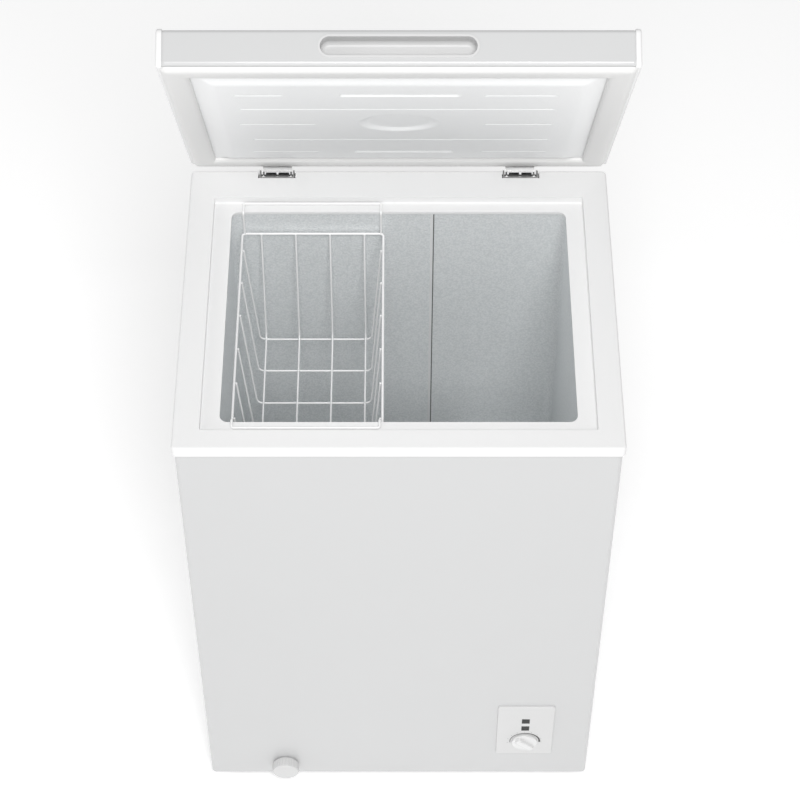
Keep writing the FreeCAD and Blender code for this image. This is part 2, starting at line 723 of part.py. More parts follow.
dial = doc.addObject("PartDesign::Body", "drain_dial")
dial_sketch = body_sketch(dial, "XZ_Plane", "dial_outline", 0)
circle(dial_sketch, size("drain_dial"))
pad(dial, "dial_disc", dial_sketch, DIAL_DEPTH)
soften(dial, "dial_front_edge", 2.0, lambda edge: edge.BoundBox.YMax < -DIAL_DEPTH + 0.01)
rib_sketch = body_sketch(dial, "XZ_Plane", "dial_flute", 0)
circle(rib_sketch, 1.3, size("drain_dial") + 0.4, 0)
flute = dial.newObject("PartDesign::Pocket", "dial_flute_cut")
flute.Profile = rib_sketch
flute.Type = 1
flute.Midplane = True
doc.recompute()
ring = dial.newObject("PartDesign::PolarPattern", "dial_flutes")
ring.Originals = [flute]
ring.Axis = (rib_sketch, ["N_Axis"])
ring.Angle = 360
ring.Occurrences = DIAL_RIBS
dial.Tip = ring
place(dial, drain_x, dial_back, drain_z)
dial_socket = rod("dial_socket", "y", size("drain_tube") + size("pin_clearance"),
                  (drain_x, dial_front + 2.9, drain_z), DIAL_DEPTH)
keep("drain_dial", cut("drain_dial_cut", dial, dial_socket))

PLUG_LIFT = 0.3
plug_head = rod("plug_head", "z", bore_radius + 7, (drain_x, outlet_y, tank_floor + PLUG_LIFT), 3)
plug_stem = rod("plug_stem", "z", bore_radius - 1.2, (drain_x, outlet_y, tank_floor - 12), 13)
plug_grip = block("plug_grip", (drain_x - 8, drain_x + 8), (outlet_y - 1.5, outlet_y + 1.5),
                  (tank_floor + 2, tank_floor + 14))
keep("tank_plug", fuse("tank_plug", plug_head, plug_stem, plug_grip))

# ---------------------------------------------------------------------------------------------------
# Cabinet sheets, tank and foam
# ---------------------------------------------------------------------------------------------------


def front_upright(middle, along):
    """True for the upright edges at the front of the cabinet."""
    return abs(along.z) > 0.9 and middle.y < 0


shell_outer = rounded("shell_outer",
                      block("shell_outer_box", mirrored_pair(shell_x), mirrored_pair(shell_y),
                            (bottom, top - wall)),
                      (size("shell_corner"), front_upright))
shell_inner = rounded("shell_inner",
                      block("shell_inner_box", mirrored_pair(inside_x), (-inside_y, shell_y + 1),
                            (bottom - 1, top)),
                      (size("shell_corner") - size("steel"), front_upright))
drain_hole = rod("shell_drain_hole", "y", pipe_radius, (drain_x, -shell_y - 1, drain_z), 4)
keep("outer_shell", cut("outer_shell", shell_outer, shell_inner, shell_hole, drain_hole))

vent_x = (bay_x + 12, inside_x - 10)
vent_z = (base_top + 12, bay_top - 12)
GRILLE_SHEET = 1.2
GRILLE_SLOTS = 11
grille_x = (vent_x[0] - 8, vent_x[1] + 8)
grille_z = (vent_z[0] - 8, vent_z[1] + 8)
grille_screws = back_screws(
    "grille_screws",
    [(x, shell_y + GRILLE_SHEET, z) for x in (grille_x[0] + 4, grille_x[1] - 4)
     for z in (grille_z[0] + 6, (grille_z[0] + grille_z[1]) / 2, grille_z[1] - 6)], GRILLE_SCREW)
back = block("back_sheet", mirrored_pair(inside_x), (inside_y, shell_y), (bottom, top - wall))
vent_hole = block("vent_opening", vent_x, (inside_y - 1, shell_y + 1), vent_z)
keep("back_panel", cut("back_panel", back, vent_hole, bracket_screws, grille_screws, *notches))

foot_places = [(sx * (shell_x - size("foot_inset")), sy * (shell_y - size("foot_inset")))
               for sx in (-1, 1) for sy in (-1, 1)]
feet, foot_screws = [], []
for n, (x, y) in enumerate(foot_places):
    foot = doc.addObject("Part::Cone", f"foot_{n}")
    bind(foot, "Radius1", size("foot_radius") - 4)
    bind(foot, "Radius2", size("foot_radius"))
    bind(foot, "Height", size("foot_height"))
    place(foot, x, y, 0)
    screw_head = rod(f"foot_screw_head{n}", "z", 6, (x, y, 3), 4)
    screw_shank = rod(f"foot_screw_shank{n}", "z", 3, (x, y, 3), base_top + 3)
    foot_screws.append(fuse(f"foot_screw{n}", screw_head, screw_shank))
    well = rod(f"foot_well{n}", "z", 6, (x, y, -1), 8)
    shaft_bore = rod(f"foot_bore{n}", "z", 3, (x, y, 0), size("foot_height") + 1)
    feet.append(cut(f"foot_body{n}", rounded(f"foot_soft{n}", foot, (1.0, level_at(0))), well, shaft_bore))
keep("feet", group("feet", feet))
keep("foot_screws", group("foot_screws", foot_screws))
pan = block("base_sheet_whole", mirrored_pair(inside_x), mirrored_pair(inside_y), (bottom, base_top))
pan_corners = rounded("base_sheet_cornered", pan, (size("shell_corner"), front_upright))
keep("base_pan", cut("base_pan", pan_corners, *foot_screws))


def tank_solid(name, grow, rise):
    """The tank's room with its step, grown all round by a thickness."""
    room = soft_block(name + "_room", mirrored_pair(tank_x + grow), (tank_front - grow, tank_rear + grow),
                      (tank_floor - grow, tank_top + rise), size("tank_corner") + grow)
    room = rounded(name + "_floor_edge", room, (size("tank_corner") / 2, level_at(tank_floor - grow)))
    step = block(name + "_step", (step_x + grow, tank_x + grow + 1),
                 (tank_front - grow - 1, tank_rear + grow + 1), (tank_floor - grow - 1, step_top - grow))
    return cut(name, room, step)


outlet = rod("tank_outlet", "z", bore_radius, (drain_x, outlet_y, tank_under - 5), 10)
liner_outside = tank_solid("liner_outside", size("liner_sheet"), 0)
liner_inside = tank_solid("liner_inside", 0, 1)
keep("tank_liner", cut("tank_liner", liner_outside, liner_inside, outlet))
SEAM_WIDTH = 5.0
SEAM_THICK = 0.6
SEAM_END = 2.0                 # below the lip and above the tank's floor edge
seam_x = size("seam_offset")
keep("liner_seam_strip", block("liner_seam_strip", (seam_x - SEAM_WIDTH, seam_x),
                               (tank_rear - SEAM_THICK, tank_rear),
                               (tank_floor + size("tank_corner") / 2 + SEAM_END,
                                ledge - size("lip_depth") - SEAM_END)))

gap = size("tube_gap")
coil_radius = size("coil_tube")
partition_wall = block("partition_wall", (bay_x, bay_x + size("steel")), mirrored_pair(inside_y),
                       (base_top, bay_top + size("steel")))
partition_roof = block("partition_roof", (bay_x, inside_x - gap), mirrored_pair(inside_y),
                       (bay_top, bay_top + size("steel")))
keep("compartment_partition", fuse("compartment_partition", partition_wall, partition_roof))

foam_x = inside_x - gap
foam_y = inside_y - gap
tank_gap = gap + size("liner_sheet")
foam_block = soft_block("foam_block", mirrored_pair(foam_x), mirrored_pair(foam_y),
                        (base_top, under_frame), size("coil_bend") - coil_radius - 1)
foam_tank = block("foam_tank_room", mirrored_pair(tank_x + tank_gap),
                  (tank_front - tank_gap, tank_rear + tank_gap), (tank_under, top))
foam_step = block("foam_step_fill", (step_x + size("liner_sheet"), foam_x), mirrored_pair(foam_y),
                  (tank_under, step_top - size("liner_sheet")))
foam_bay = block("foam_bay", (bay_x, foam_x + 1), mirrored_pair(inside_y),
                 (base_top - 1, bay_top + size("steel")))
ledge_room = block("foam_ledge_room", mirrored_pair(recess_x + wall), (recess_front - wall, recess_rear + wall),
                   (ledge - wall, top))
foam = cut("foam_hollow", foam_block, foam_tank, ledge_room)
foam = fuse("foam_filled", foam, foam_step)
keep("cabinet_foam", cut("cabinet_foam", foam, foam_bay, pipe_outside, bracket_screws, *foot_screws, *notches))

# ---------------------------------------------------------------------------------------------------
# Cooling circuit
# ---------------------------------------------------------------------------------------------------


def wrapped_coil(name, plan, bend):
    """A tube that runs to and fro along a plan view and climbs by a U-bend at each end."""
    plan = [(float(x), float(y)) for x, y in plan]
    climb = float(size("coil_spacing"))
    edges = []
    for run in range(COIL_RUNS):
        level = float(size("coil_bottom")) + run * climb
        corners = plan if run % 2 == 0 else plan[::-1]
        edges += bent_path([(x, y, level) for x, y in corners], bend).Edges
        if run < COIL_RUNS - 1:
            end, before = Vector(*corners[-1], level), Vector(*corners[-2], level)
            outward = (end - before).normalize() * (climb / 2)
            edges.append(Part.Arc(end, end + outward + Vector(0, 0, climb / 2),
                                  end + Vector(0, 0, climb)).toShape())
    return made(name, tube_shape(Part.Wire(edges), coil_radius))


TOUCH = 0.1
round_tank = float(size("liner_sheet") + coil_radius + TOUCH)
wrap_x, wrap_front, wrap_rear = tank_x + round_tank, tank_front - round_tank, tank_rear + round_tank
keep("evaporator_coil", wrapped_coil(
    "evaporator_coil", [(150, wrap_front), (-wrap_x, wrap_front), (-wrap_x, wrap_rear), (150, wrap_rear)],
    size("tank_corner") + round_tank))
inner_skin_x = inside_x - coil_radius - TOUCH
inner_skin_y = inside_y - coil_radius - TOUCH
condenser_end = inner_skin_y - size("condenser_stop")
keep("condenser_coil", wrapped_coil(
    "condenser_coil", [(inner_skin_x, condenser_end), (inner_skin_x, -inner_skin_y),
                       (-inner_skin_x, -inner_skin_y), (-inner_skin_x, condenser_end)],
    size("coil_bend")))

bay_middle = (bay_x + inside_x) / 2
comp_y = size("compressor_y")
GROMMET = 10.0
mount_bottom = base_top + GROMMET
mount_top = mount_bottom + 2
comp_radius = size("compressor_radius")
comp_height = size("compressor_height")
mount_x = comp_radius + 3
mount_y = comp_radius + 14
grommet_places = [(bay_middle + sx * (mount_x - 9), comp_y + sy * (mount_y - 9))
                  for sx in (-1, 1) for sy in (-1, 1)]
keep("compressor_grommets", group("compressor_grommets", [
    rod(f"grommet_{n}", "z", 8, (x, y, base_top), GROMMET) for n, (x, y) in enumerate(grommet_places)]))
keep("compressor_mount", soft_block("compressor_mount", (bay_middle - mount_x, bay_middle + mount_x),
                                    (comp_y - mount_y, comp_y + mount_y), (mount_bottom, mount_top), 8))
DOME = 30.0
can = rod("compressor_can", "z", comp_radius, (bay_middle, comp_y, mount_top), comp_height)
keep("compressor", rounded("compressor", can, (DOME, level_at(mount_top + comp_height)),
                           (8, level_at(mount_top))))
can_front = comp_y - comp_radius
keep("relay_box", soft_block("relay_box", (bay_middle - 22, bay_middle + 22), (can_front - 34, can_front),
                             (mount_top + 50, mount_top + 105), 4))
can_top = mount_top + comp_height
drier_y = can_front - 75
drier = rod("drier_can", "z", 10, (bay_x + 25, drier_y, mount_top + 30), 95)
keep("filter_drier", rounded("filter_drier", drier, (4, lambda middle, along: True)))
keep("discharge_line", bent_tube("discharge_line", [
    (bay_middle + 14, comp_y + 10, can_top), (bay_middle + 14, comp_y + 10, can_top + 16),
    (inner_skin_x, condenser_end - 20, can_top + 22), (inner_skin_x, condenser_end, can_top + 60),
    (inner_skin_x, condenser_end, size("coil_bottom") - 8)], 2.5, 8))
keep("suction_line", bent_tube("suction_line", [
    (bay_middle - 14, comp_y + 10, can_top), (bay_middle - 14, comp_y + 10, can_top + 20),
    (bay_x + 18, can_front - 20, can_top + 20), (bay_x + 18, can_front - 20, bay_top)], 2.5, 8))
keep("drier_line", bent_tube("drier_line", [
    (bay_x + 25, drier_y, mount_top + 125), (bay_x + 25, drier_y, mount_top + 150),
    (bay_x + 25, drier_y - 30, bay_top - 14), (bay_x + 25, drier_y - 30, bay_top)], 1.5, 8))
keep("sensor_tube", bent_tube("sensor_tube", [
    (panel_x - 12, thermostat_front + 34, knob_z), (panel_x - 12, thermostat_front + 60, knob_z),
    (bay_x + 12, thermostat_front + 80, knob_z + 40), (bay_x + 12, thermostat_front + 80, bay_top)], 1, 10))
keep("wiring_harness", bent_tube("wiring_harness", [
    (panel_x + 10, thermostat_front + 34, knob_z), (panel_x + 10, thermostat_front + 70, knob_z),
    (bay_middle + 10, can_front - 90, mount_top + 70), (bay_middle + 10, can_front - 34, mount_top + 70)],
    2.5, 15))

slot_foot = vent_z[0] + 56
slot_pitch = (vent_z[1] - slot_foot - 6) / GRILLE_SLOTS
grille_slots = [
    block(f"grille_slot{n}", (vent_x[0] + 8, vent_x[1] - 8), (shell_y - 1, shell_y + 3),
          (slot_foot + n * slot_pitch, slot_foot + n * slot_pitch + 6)) for n in range(GRILLE_SLOTS)]
grille_whole = block("grille_whole", grille_x, (shell_y, shell_y + GRILLE_SHEET), grille_z)
gland_at = (vent_x[0] + 22, vent_z[0] + 24)
gland_hole = rod("gland_hole", "y", 7, (gland_at[0], shell_y - 1, gland_at[1]), 4)
keep("rear_grille", cut("rear_grille", grille_whole, gland_hole, grille_screws, *grille_slots))
keep("grille_screws", grille_screws)
gland_front = shell_y + GRILLE_SHEET
gland_flange = rod("gland_flange", "y", 10, (gland_at[0], gland_front, gland_at[1]), 4)
gland_neck = rod("gland_neck", "y", 7, (gland_at[0], shell_y - 6, gland_at[1]), GRILLE_SHEET + 6)
gland_bore = rod("gland_bore", "y", size("cord_bore"), (gland_at[0], shell_y - 8, gland_at[1]), 20)
keep("cord_gland", cut("cord_gland", fuse("gland_body", gland_flange, gland_neck), gland_bore))

# ---------------------------------------------------------------------------------------------------
# Lid
# ---------------------------------------------------------------------------------------------------
skin = size("lid_sheet")


def lid_block(name, inset, low, high, edge):
    """The lid's outer form, moved in by a thickness, with all its edges rounded."""
    box = block(name + "_box", mirrored_pair(lid_x - inset), mirrored_pair(lid_y - inset), (low, high))
    corners = rounded(name + "_corners", box, (size("lid_corner") - inset, upright))
    return rounded(name, corners, (edge, level_at(low)), (edge, level_at(high)))


def stadium(name, radius, start_y, depth):
    """A long rounded slot across the front of the lid."""
    half = size("handle_width") / 2 - size("handle_height") / 2
    level = rim + size("handle_level")
    middle = block(name + "_middle", (-half, half), (start_y, start_y + depth), (level - radius, level + radius))
    ends = [rod(f"{name}_end{n}", "y", radius, (x, start_y, level), depth) for n, x in enumerate((-half, half))]
    return fuse(name, middle, *ends)


half_handle = size("handle_height") / 2
cup_radius = half_handle + size("cup_wall")
RIM_PROUD = 0.8
cup_outer = stadium("cup_outer", cup_radius, -lid_y, size("handle_depth") + size("cup_wall"))
cup_flange = stadium("cup_flange", cup_radius + 1, -lid_y - RIM_PROUD, RIM_PROUD)
cup_void = stadium("cup_void", half_handle, -lid_y - 2, size("handle_depth") + 2)
cup_void = rounded("cup_void_soft", cup_void,
                   (6, lambda middle, along: abs(middle.y - float(size("handle_depth") - lid_y)) < 0.01))
cup_seat = stadium("cup_seat", cup_radius, -lid_y - 1, size("handle_depth") + size("cup_wall") + 1)
keep("handle_cup", cut("handle_cup", fuse("cup_whole", cup_outer, cup_flange), cup_void), in_lid=True)

skin_outer = lid_block("skin_outer", Dim.of(0), rim, lid_top, size("lid_edge"))
skin_inner = lid_block("skin_inner", skin, rim + skin, lid_top - skin, size("lid_edge") - skin)
mouth_x, mouth_y = lid_x - size("lid_flange"), lid_y - size("lid_flange")
mouth = block("lid_mouth", mirrored_pair(mouth_x), mirrored_pair(mouth_y), (rim - 1, rim + skin + 1))
keep("lid_skin", cut("lid_skin", skin_outer, skin_inner, mouth, cup_seat, leaf_screw_holes), in_lid=True)


def raised_panel(name, inset, low, high):
    """A shallow frustum that points down into the tank."""
    wedge = doc.addObject("Part::Wedge", name)
    slope = size("panel_slope")
    for prop, value in (("Xmin", -gasket_x + inset), ("Xmax", gasket_x - inset),
                        ("Zmin", -gasket_y + inset), ("Zmax", gasket_y - inset),
                        ("X2min", -gasket_x + slope + inset), ("X2max", gasket_x - slope - inset),
                        ("Z2min", -gasket_y + slope + inset), ("Z2max", gasket_y - slope - inset),
                        ("Ymin", 0), ("Ymax", high - low)):
        bind(wedge, prop, value)
    wedge.Placement = Placement(Vector(), Rotation(Vector(1, 0, 0), -90))
    place(wedge, 0, 0, high)
    return wedge


# left end, right end and place in front of the lid's middle, for the narrow and the wide grooves
NARROW_GROOVES = [
    (-193, -136, 131), (101, 186, 131), (-190, 186, 70), (-195, -102, -1), (105, 188, -1),
    (-182, 188, -76), (-187, -102, -139), (105, 188, -139)]
WIDE_GROOVES = [(-70, 73, 131), (-58, 71, -139)]
plateau_z = rim - size("panel_rise")


def pressed_relief(name, grow):
    """The bodies of the grooves and of the oval dish, grown by a thickness, above the plateau's plane."""
    forms = []
    for kind, grooves, radius in (("narrow", NARROW_GROOVES, size("groove_narrow")),
                                  ("wide", WIDE_GROOVES, size("groove_wide"))):
        for n, (left, right, front) in enumerate(grooves):
            forms.append(rod(f"{name}_{kind}{n}", "x", radius + grow, (left - grow, -front, plateau_z),
                             right - left + 2 * grow))
    dish = doc.addObject("Part::Ellipsoid", name + "_dish")
    for prop, value in (("Radius1", "dish_depth"), ("Radius2", "dish_half_x"), ("Radius3", "dish_half_y")):
        bind(dish, prop, size(value) + grow)
    place(dish, 0, -size("dish_front"), plateau_z)
    whole = fuse(name + "_whole", dish, *forms)
    below = block(name + "_below", (-lid_x, lid_x), (-lid_y, lid_y), (plateau_z - 20, plateau_z))
    return cut(name, whole, below)


panel_sheet = block("inner_panel_sheet", mirrored_pair(mouth_x), mirrored_pair(mouth_y), (rim, rim + skin))
plateau = raised_panel("plateau", Dim.of(0), rim - size("panel_rise"), rim)
plateau_void = raised_panel("plateau_void", skin, rim - size("panel_rise") + skin, rim + skin)
relief_outside = pressed_relief("relief_outside", skin)
relief_inside = pressed_relief("relief_inside", 0)
plain_panel = cut("plain_panel", fuse("inner_panel_whole", panel_sheet, plateau), plateau_void)
keep("lid_inner_panel",
     cut("lid_inner_panel", fuse("pressed_panel", plain_panel, relief_outside), relief_inside), in_lid=True)
foam_core = lid_block("lid_foam_core", skin, rim + skin, lid_top - skin, size("lid_edge") - skin)
foam_bulge = raised_panel("lid_foam_bulge", skin, rim - size("panel_rise") + skin, rim + skin)
keep("lid_foam",
     cut("lid_foam", fuse("lid_foam_whole", foam_core, foam_bulge), relief_outside, cup_seat, leaf_screw_holes),
     in_lid=True)

seal_bottom = top + size("gasket_clearance")
seal_outer = soft_block("seal_outer", mirrored_pair(lid_x - size("gasket_inset")),
                        mirrored_pair(lid_y - size("gasket_inset")), (seal_bottom, rim), 8)
seal_outer = rounded("seal_outer_soft", seal_outer, (5.0, level_at(seal_bottom)))
seal_void = block("seal_void", mirrored_pair(gasket_x), mirrored_pair(gasket_y), (seal_bottom - 1, rim + 1))
keep("lid_gasket", cut("lid_gasket", seal_outer, seal_void), in_lid=True)
keep("leaf_screws", leaf_screws, in_lid=True)

lid_form = lid_block("lid_form", Dim.of(0), rim, lid_top, size("lid_edge"))
proud = size("end_proud")
for side, sign in (("left", -1), ("right", 1)):
    edges = sorted((sign * (lid_x - size("end_grip")), sign * (lid_x + proud)), key=float)
    end = block(f"lid_end_{side}_box", edges, mirrored_pair(lid_y + proud), (rim, lid_top + proud))
    end = rounded(f"lid_end_{side}_soft", end, (size("lid_edge"), lambda middle, along: abs(along.x) > 0.9))
    end = rounded(f"lid_end_{side}_edged", end, (0.8, lambda middle, along, x=sign * (lid_x + proud):
                                                 abs(middle.x - float(x)) < 0.01))
    keep(f"lid_end_{side}", cut(f"lid_end_{side}", end, lid_form), in_lid=True)

# ---------------------------------------------------------------------------------------------------
# Wire basket: a ring, two loops that hang on the ledge, cross wires and lengthwise wires
# ---------------------------------------------------------------------------------------------------
ring_wire = size("ring_wire")
mesh_wire = size("mesh_wire")
side_gap = size("basket_wall_gap")
ring_left = -open_x + size("basket_side_gap")
ring_right = ring_left + size("basket_width")
ring_front = open_front + side_gap + ring_wire
ring_rear = open_rear - side_gap - ring_wire
ring_z = top - size("ring_drop")
bottom_z = top - size("basket_bottom_drop")
keep("basket_ring", bent_tube("basket_ring", [
    (ring_left + 30, ring_rear, ring_z), (ring_right, ring_rear, ring_z), (ring_right, ring_front, ring_z),
    (ring_left, ring_front, ring_z), (ring_left, ring_rear, ring_z)], ring_wire, 5, closed=True))

hanger_z = ledge + ring_wire + size("ledge_clearance")
hanger_foot = ring_z + ring_wire + 0.05
hanger_ends = {
    "rear": (ring_rear, recess_rear - size("hanger_reach")),
    "front": (ring_front, recess_front + size("hanger_reach") + 6.5),
}
LEG_INSET = 3.0
HANGER_BEND = 3.0
hangers = []
for end, (edge, reach) in hanger_ends.items():
    left, right = ring_left + LEG_INSET, ring_right - LEG_INSET
    hangers.append(bent_tube(f"hanger_{end}", [
        (left, edge, hanger_foot), (left, edge, hanger_z), (left, reach, hanger_z),
        (right, reach, hanger_z), (right, edge, hanger_z), (right, edge, hanger_foot)],
        ring_wire, HANGER_BEND))
keep("basket_hangers", group("basket_hangers", hangers))

weld = ring_wire + mesh_wire
basket_middle = (ring_left + ring_right) / 2
bed_middle = (ring_front + ring_rear) / 2
wire_top = ring_z + ring_wire
cross_spacing = (ring_rear - ring_front - 2 * size("cross_end")) / 5
cross_wires = []
for n in range(6):
    y = bed_middle + (n - 2.5) * cross_spacing
    inner_left, inner_right = ring_left + weld, ring_right - weld
    cross_wires.append(bent_tube(f"cross_wire{n}", [
        (inner_left, y, wire_top), (inner_left + size("basket_taper"), y, bottom_z),
        (inner_right - size("basket_taper"), y, bottom_z), (inner_right, y, wire_top)], mesh_wire, 9))
keep("basket_cross_wires", group("basket_cross_wires", cross_wires))

long_wires = []
bed_z = bottom_z + 2 * mesh_wire
for n in range(4):
    x = basket_middle + (n - 1.5) * size("length_spacing")
    inner_front, inner_rear = ring_front + weld, ring_rear - weld
    long_wires.append(bent_tube(f"long_wire{n}", [
        (x, inner_front, wire_top), (x, inner_front + size("basket_end_slope"), bed_z),
        (x, inner_rear - size("basket_end_slope"), bed_z), (x, inner_rear, wire_top)], mesh_wire, 12))
keep("basket_long_wires", group("basket_long_wires", long_wires))

# ---------------------------------------------------------------------------------------------------
# Check the document and write one STEP file for each piece
# ---------------------------------------------------------------------------------------------------
doc.recompute()
for thing in doc.Objects:
    if {"Invalid", "Error"} & set(thing.State):
        raise RuntimeError(f"{thing.Name} failed: {thing.State}")
for name, piece in pieces.items():
    shape = piece.Shape
    if shape.isNull() or not shape.isValid() or not shape.Solids:
        raise RuntimeError(f"{name} has no valid solid")

os.makedirs("parts", exist_ok=True)
for name, piece in pieces.items():
    piece.Shape.exportStep(os.path.join("parts", name + ".step"))
    box = piece.Shape.BoundBox
    print(f"{name:24s} {len(piece.Shape.Solids):3d} solids  x {box.XMin:7.1f} {box.XMax:7.1f}"
          f"  y {box.YMin:7.1f} {box.YMax:7.1f}  z {box.ZMin:7.1f} {box.ZMax:7.1f}")
print(len(pieces), "pieces")
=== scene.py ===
# %% [markdown]
# # A small chest freezer with its lid open
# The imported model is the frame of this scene: it fixes every size, and its bodies carry whatever moves.
# This notebook dresses it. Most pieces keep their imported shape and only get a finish. The pieces whose real
# surface has finer shape than the frame shows, such as the embossed panel under the lid, its seal, the
# hinge springs and the screw heads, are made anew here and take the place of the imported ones.

# %% Load the frame
import json
import math

import bmesh
import bpy
import numpy as np
from mathutils import Matrix, Vector


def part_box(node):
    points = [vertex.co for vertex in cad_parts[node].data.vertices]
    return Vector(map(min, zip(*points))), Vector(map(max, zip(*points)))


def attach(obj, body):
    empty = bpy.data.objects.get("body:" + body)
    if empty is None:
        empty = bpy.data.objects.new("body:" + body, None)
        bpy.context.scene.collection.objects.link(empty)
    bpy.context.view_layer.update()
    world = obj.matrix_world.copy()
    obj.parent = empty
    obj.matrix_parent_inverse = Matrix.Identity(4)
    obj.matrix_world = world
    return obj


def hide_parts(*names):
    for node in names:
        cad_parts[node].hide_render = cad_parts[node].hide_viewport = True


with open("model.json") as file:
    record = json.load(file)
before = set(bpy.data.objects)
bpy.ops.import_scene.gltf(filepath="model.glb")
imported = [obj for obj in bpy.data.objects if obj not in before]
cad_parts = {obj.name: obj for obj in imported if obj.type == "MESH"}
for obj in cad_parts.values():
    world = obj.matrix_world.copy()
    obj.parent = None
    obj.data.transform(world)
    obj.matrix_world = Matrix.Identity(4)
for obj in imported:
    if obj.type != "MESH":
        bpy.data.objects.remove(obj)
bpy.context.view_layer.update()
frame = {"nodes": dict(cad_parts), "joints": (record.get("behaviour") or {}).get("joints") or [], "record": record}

# %% [markdown]
# ## Where things are
# Lengths are in metres, and `MM` turns millimetres into them. The lid is packed open. Its pieces are easier
# to describe shut, when they are square to the axes, so `LID_OPEN` turns a shut piece about the hinge pins
# into the place where the lid stands, and `shut_box` measures a packed lid piece as if it were shut.

# %% Measures of the shut lid
MM = 0.001
hinge = next(joint for joint in frame["joints"] if joint["name"] == "lid_hinge")
pivot = Vector(hinge["pos_m"])
open_angle = math.radians(hinge["range_deg"][0])
LID_OPEN = Matrix.Translation(pivot) @ Matrix.Rotation(open_angle, 4, "X") @ Matrix.Translation(-pivot)


def shut_box(node):
    shut = LID_OPEN.inverted()
    points = np.array([shut @ v.co for v in frame["nodes"][node].data.vertices])
    return Vector(points.min(0)), Vector(points.max(0))


lid_low, lid_high = shut_box("lid_skin")
seal_high = shut_box("lid_gasket")[1]
print("shut lid from", [round(v, 4) for v in lid_low], "to", [round(v, 4) for v in lid_high])

# %% [markdown]
# ## Camera, light and floor
# A long lens looks steeply down into the tank, as in a catalogue picture. The freezer is white on white, so
# its form is read only from soft differences of light. One broad lamp over the front does most of the work.
# It stands near the camera's own direction, so that its light reaches down into the tank. An even sky, a
# lamp at the left and a low one in front, which lights the panel under the lid, fill the rest. The pale
# floor glows a little, so that no grey pool forms round the feet. The plain sRGB view keeps the whites
# white.

# %% Camera
PITCH = math.radians(38.89)
camera_data = bpy.data.cameras.new("catalogue_camera")
camera_data.lens = 106.6
camera_data.sensor_width = 36.0
camera_data.shift_x = 0.0016
camera = bpy.data.objects.new("catalogue_camera", camera_data)
camera.location = (0.0, -1.95945, 3.0188)
camera.rotation_euler = (PITCH, 0.0, 0.0)
bpy.context.collection.objects.link(camera)
bpy.context.scene.camera = camera
bpy.context.scene.view_settings.view_transform = "Standard"
print("camera", tuple(camera.location), "lens", camera_data.lens)

# %% Sky and lamps
SKY_STRENGTH = 0.42
FREEZER_MIDDLE = (0.0, 0.0, 0.6)
sky = bpy.data.worlds.new("studio_sky")
sky.use_nodes = True
sky.node_tree.nodes["Background"].inputs["Color"].default_value = (1.0, 1.0, 1.0, 1.0)
sky.node_tree.nodes["Background"].inputs["Strength"].default_value = SKY_STRENGTH
bpy.context.scene.world = sky


def soft_lamp(name, place, target, side, power):
    """A square area lamp that faces a point."""
    data = bpy.data.lights.new(name, "AREA")
    data.size = side
    data.energy = power
    lamp = bpy.data.objects.new(name, data)
    lamp.location = place
    lamp.rotation_euler = (Vector(target) - Vector(place)).to_track_quat("-Z", "Y").to_euler()
    bpy.context.collection.objects.link(lamp)
    return lamp


soft_lamp("front_lamp", (0.25, -2.3, 3.7), FREEZER_MIDDLE, 1.3, 96)
soft_lamp("left_lamp", (-2.6, -0.6, 2.4), FREEZER_MIDDLE, 1.6, 12)
soft_lamp("low_lamp", (0.0, -3.2, 1.6), (0.0, 0.15, 1.0), 1.4, 9)
print("sky strength", SKY_STRENGTH)

# %% [markdown]
# ## A small language for materials
# A material is a tree of nodes. Written node by node it is long and hard to read, so a `Signal` wraps one
# output socket and lets Python's own operators add the Math nodes: `0.4 + 0.1 * speckle` is three nodes and
# one line. Every other node comes from one method, `node`, which takes its type, its settings, and what its
# inputs get.

# %% Signals and node trees
class Signal:
    """One output socket; arithmetic on it adds Math nodes."""

    def __init__(self, tree, socket):
        self.tree, self.socket = tree, socket

    def maths(self, operation, *values):
        return self.tree.node("ShaderNodeMath", {"operation": operation}, dict(enumerate(values)))

    def __add__(self, other):
        return self.maths("ADD", self, other)

    def __sub__(self, other):
        return self.maths("SUBTRACT", self, other)

    def __rsub__(self, other):
        return self.maths("SUBTRACT", other, self)

    def __mul__(self, other):
        return self.maths("MULTIPLY", self, other)

    def __gt__(self, other):
        return self.maths("GREATER_THAN", self, other)

    def __lt__(self, other):
        return self.maths("LESS_THAN", self, other)

    __radd__, __rmul__ = __add__, __mul__

    def ramp(self, *stops):
        """A grey ramp through (position, value) stops."""
        return self.tree.node("ValToRGB", {"stops": stops}, {"Fac": self})


class NodeTree:
    """Shared by materials and geometry recipes: adds nodes and joins their sockets."""

    prefix = "ShaderNode"

    def node(self, kind, settings=None, feeds=None, output=0):
        kind = kind if kind.startswith(("Geometry", "Function", "Shader")) else self.prefix + kind
        node = self.tree.nodes.new(kind)
        for key, value in (settings or {}).items():
            if key == "stops":
                self.set_stops(node.color_ramp, value)
            else:
                setattr(node, key, value)
        for key, value in (feeds or {}).items():
            self.feed(node.inputs[key], value)
        return Signal(self, node.outputs[output])

    @staticmethod
    def set_stops(ramp, stops):
        while len(ramp.elements) < len(stops):
            ramp.elements.new(1.0)
        for element, (position, value) in zip(ramp.elements, stops):
            element.position = position
            element.color = (value, value, value, 1.0)

    def feed(self, socket, value):
        if isinstance(value, Signal):
            self.tree.links.new(value.socket, socket)
        else:
            socket.default_value = value


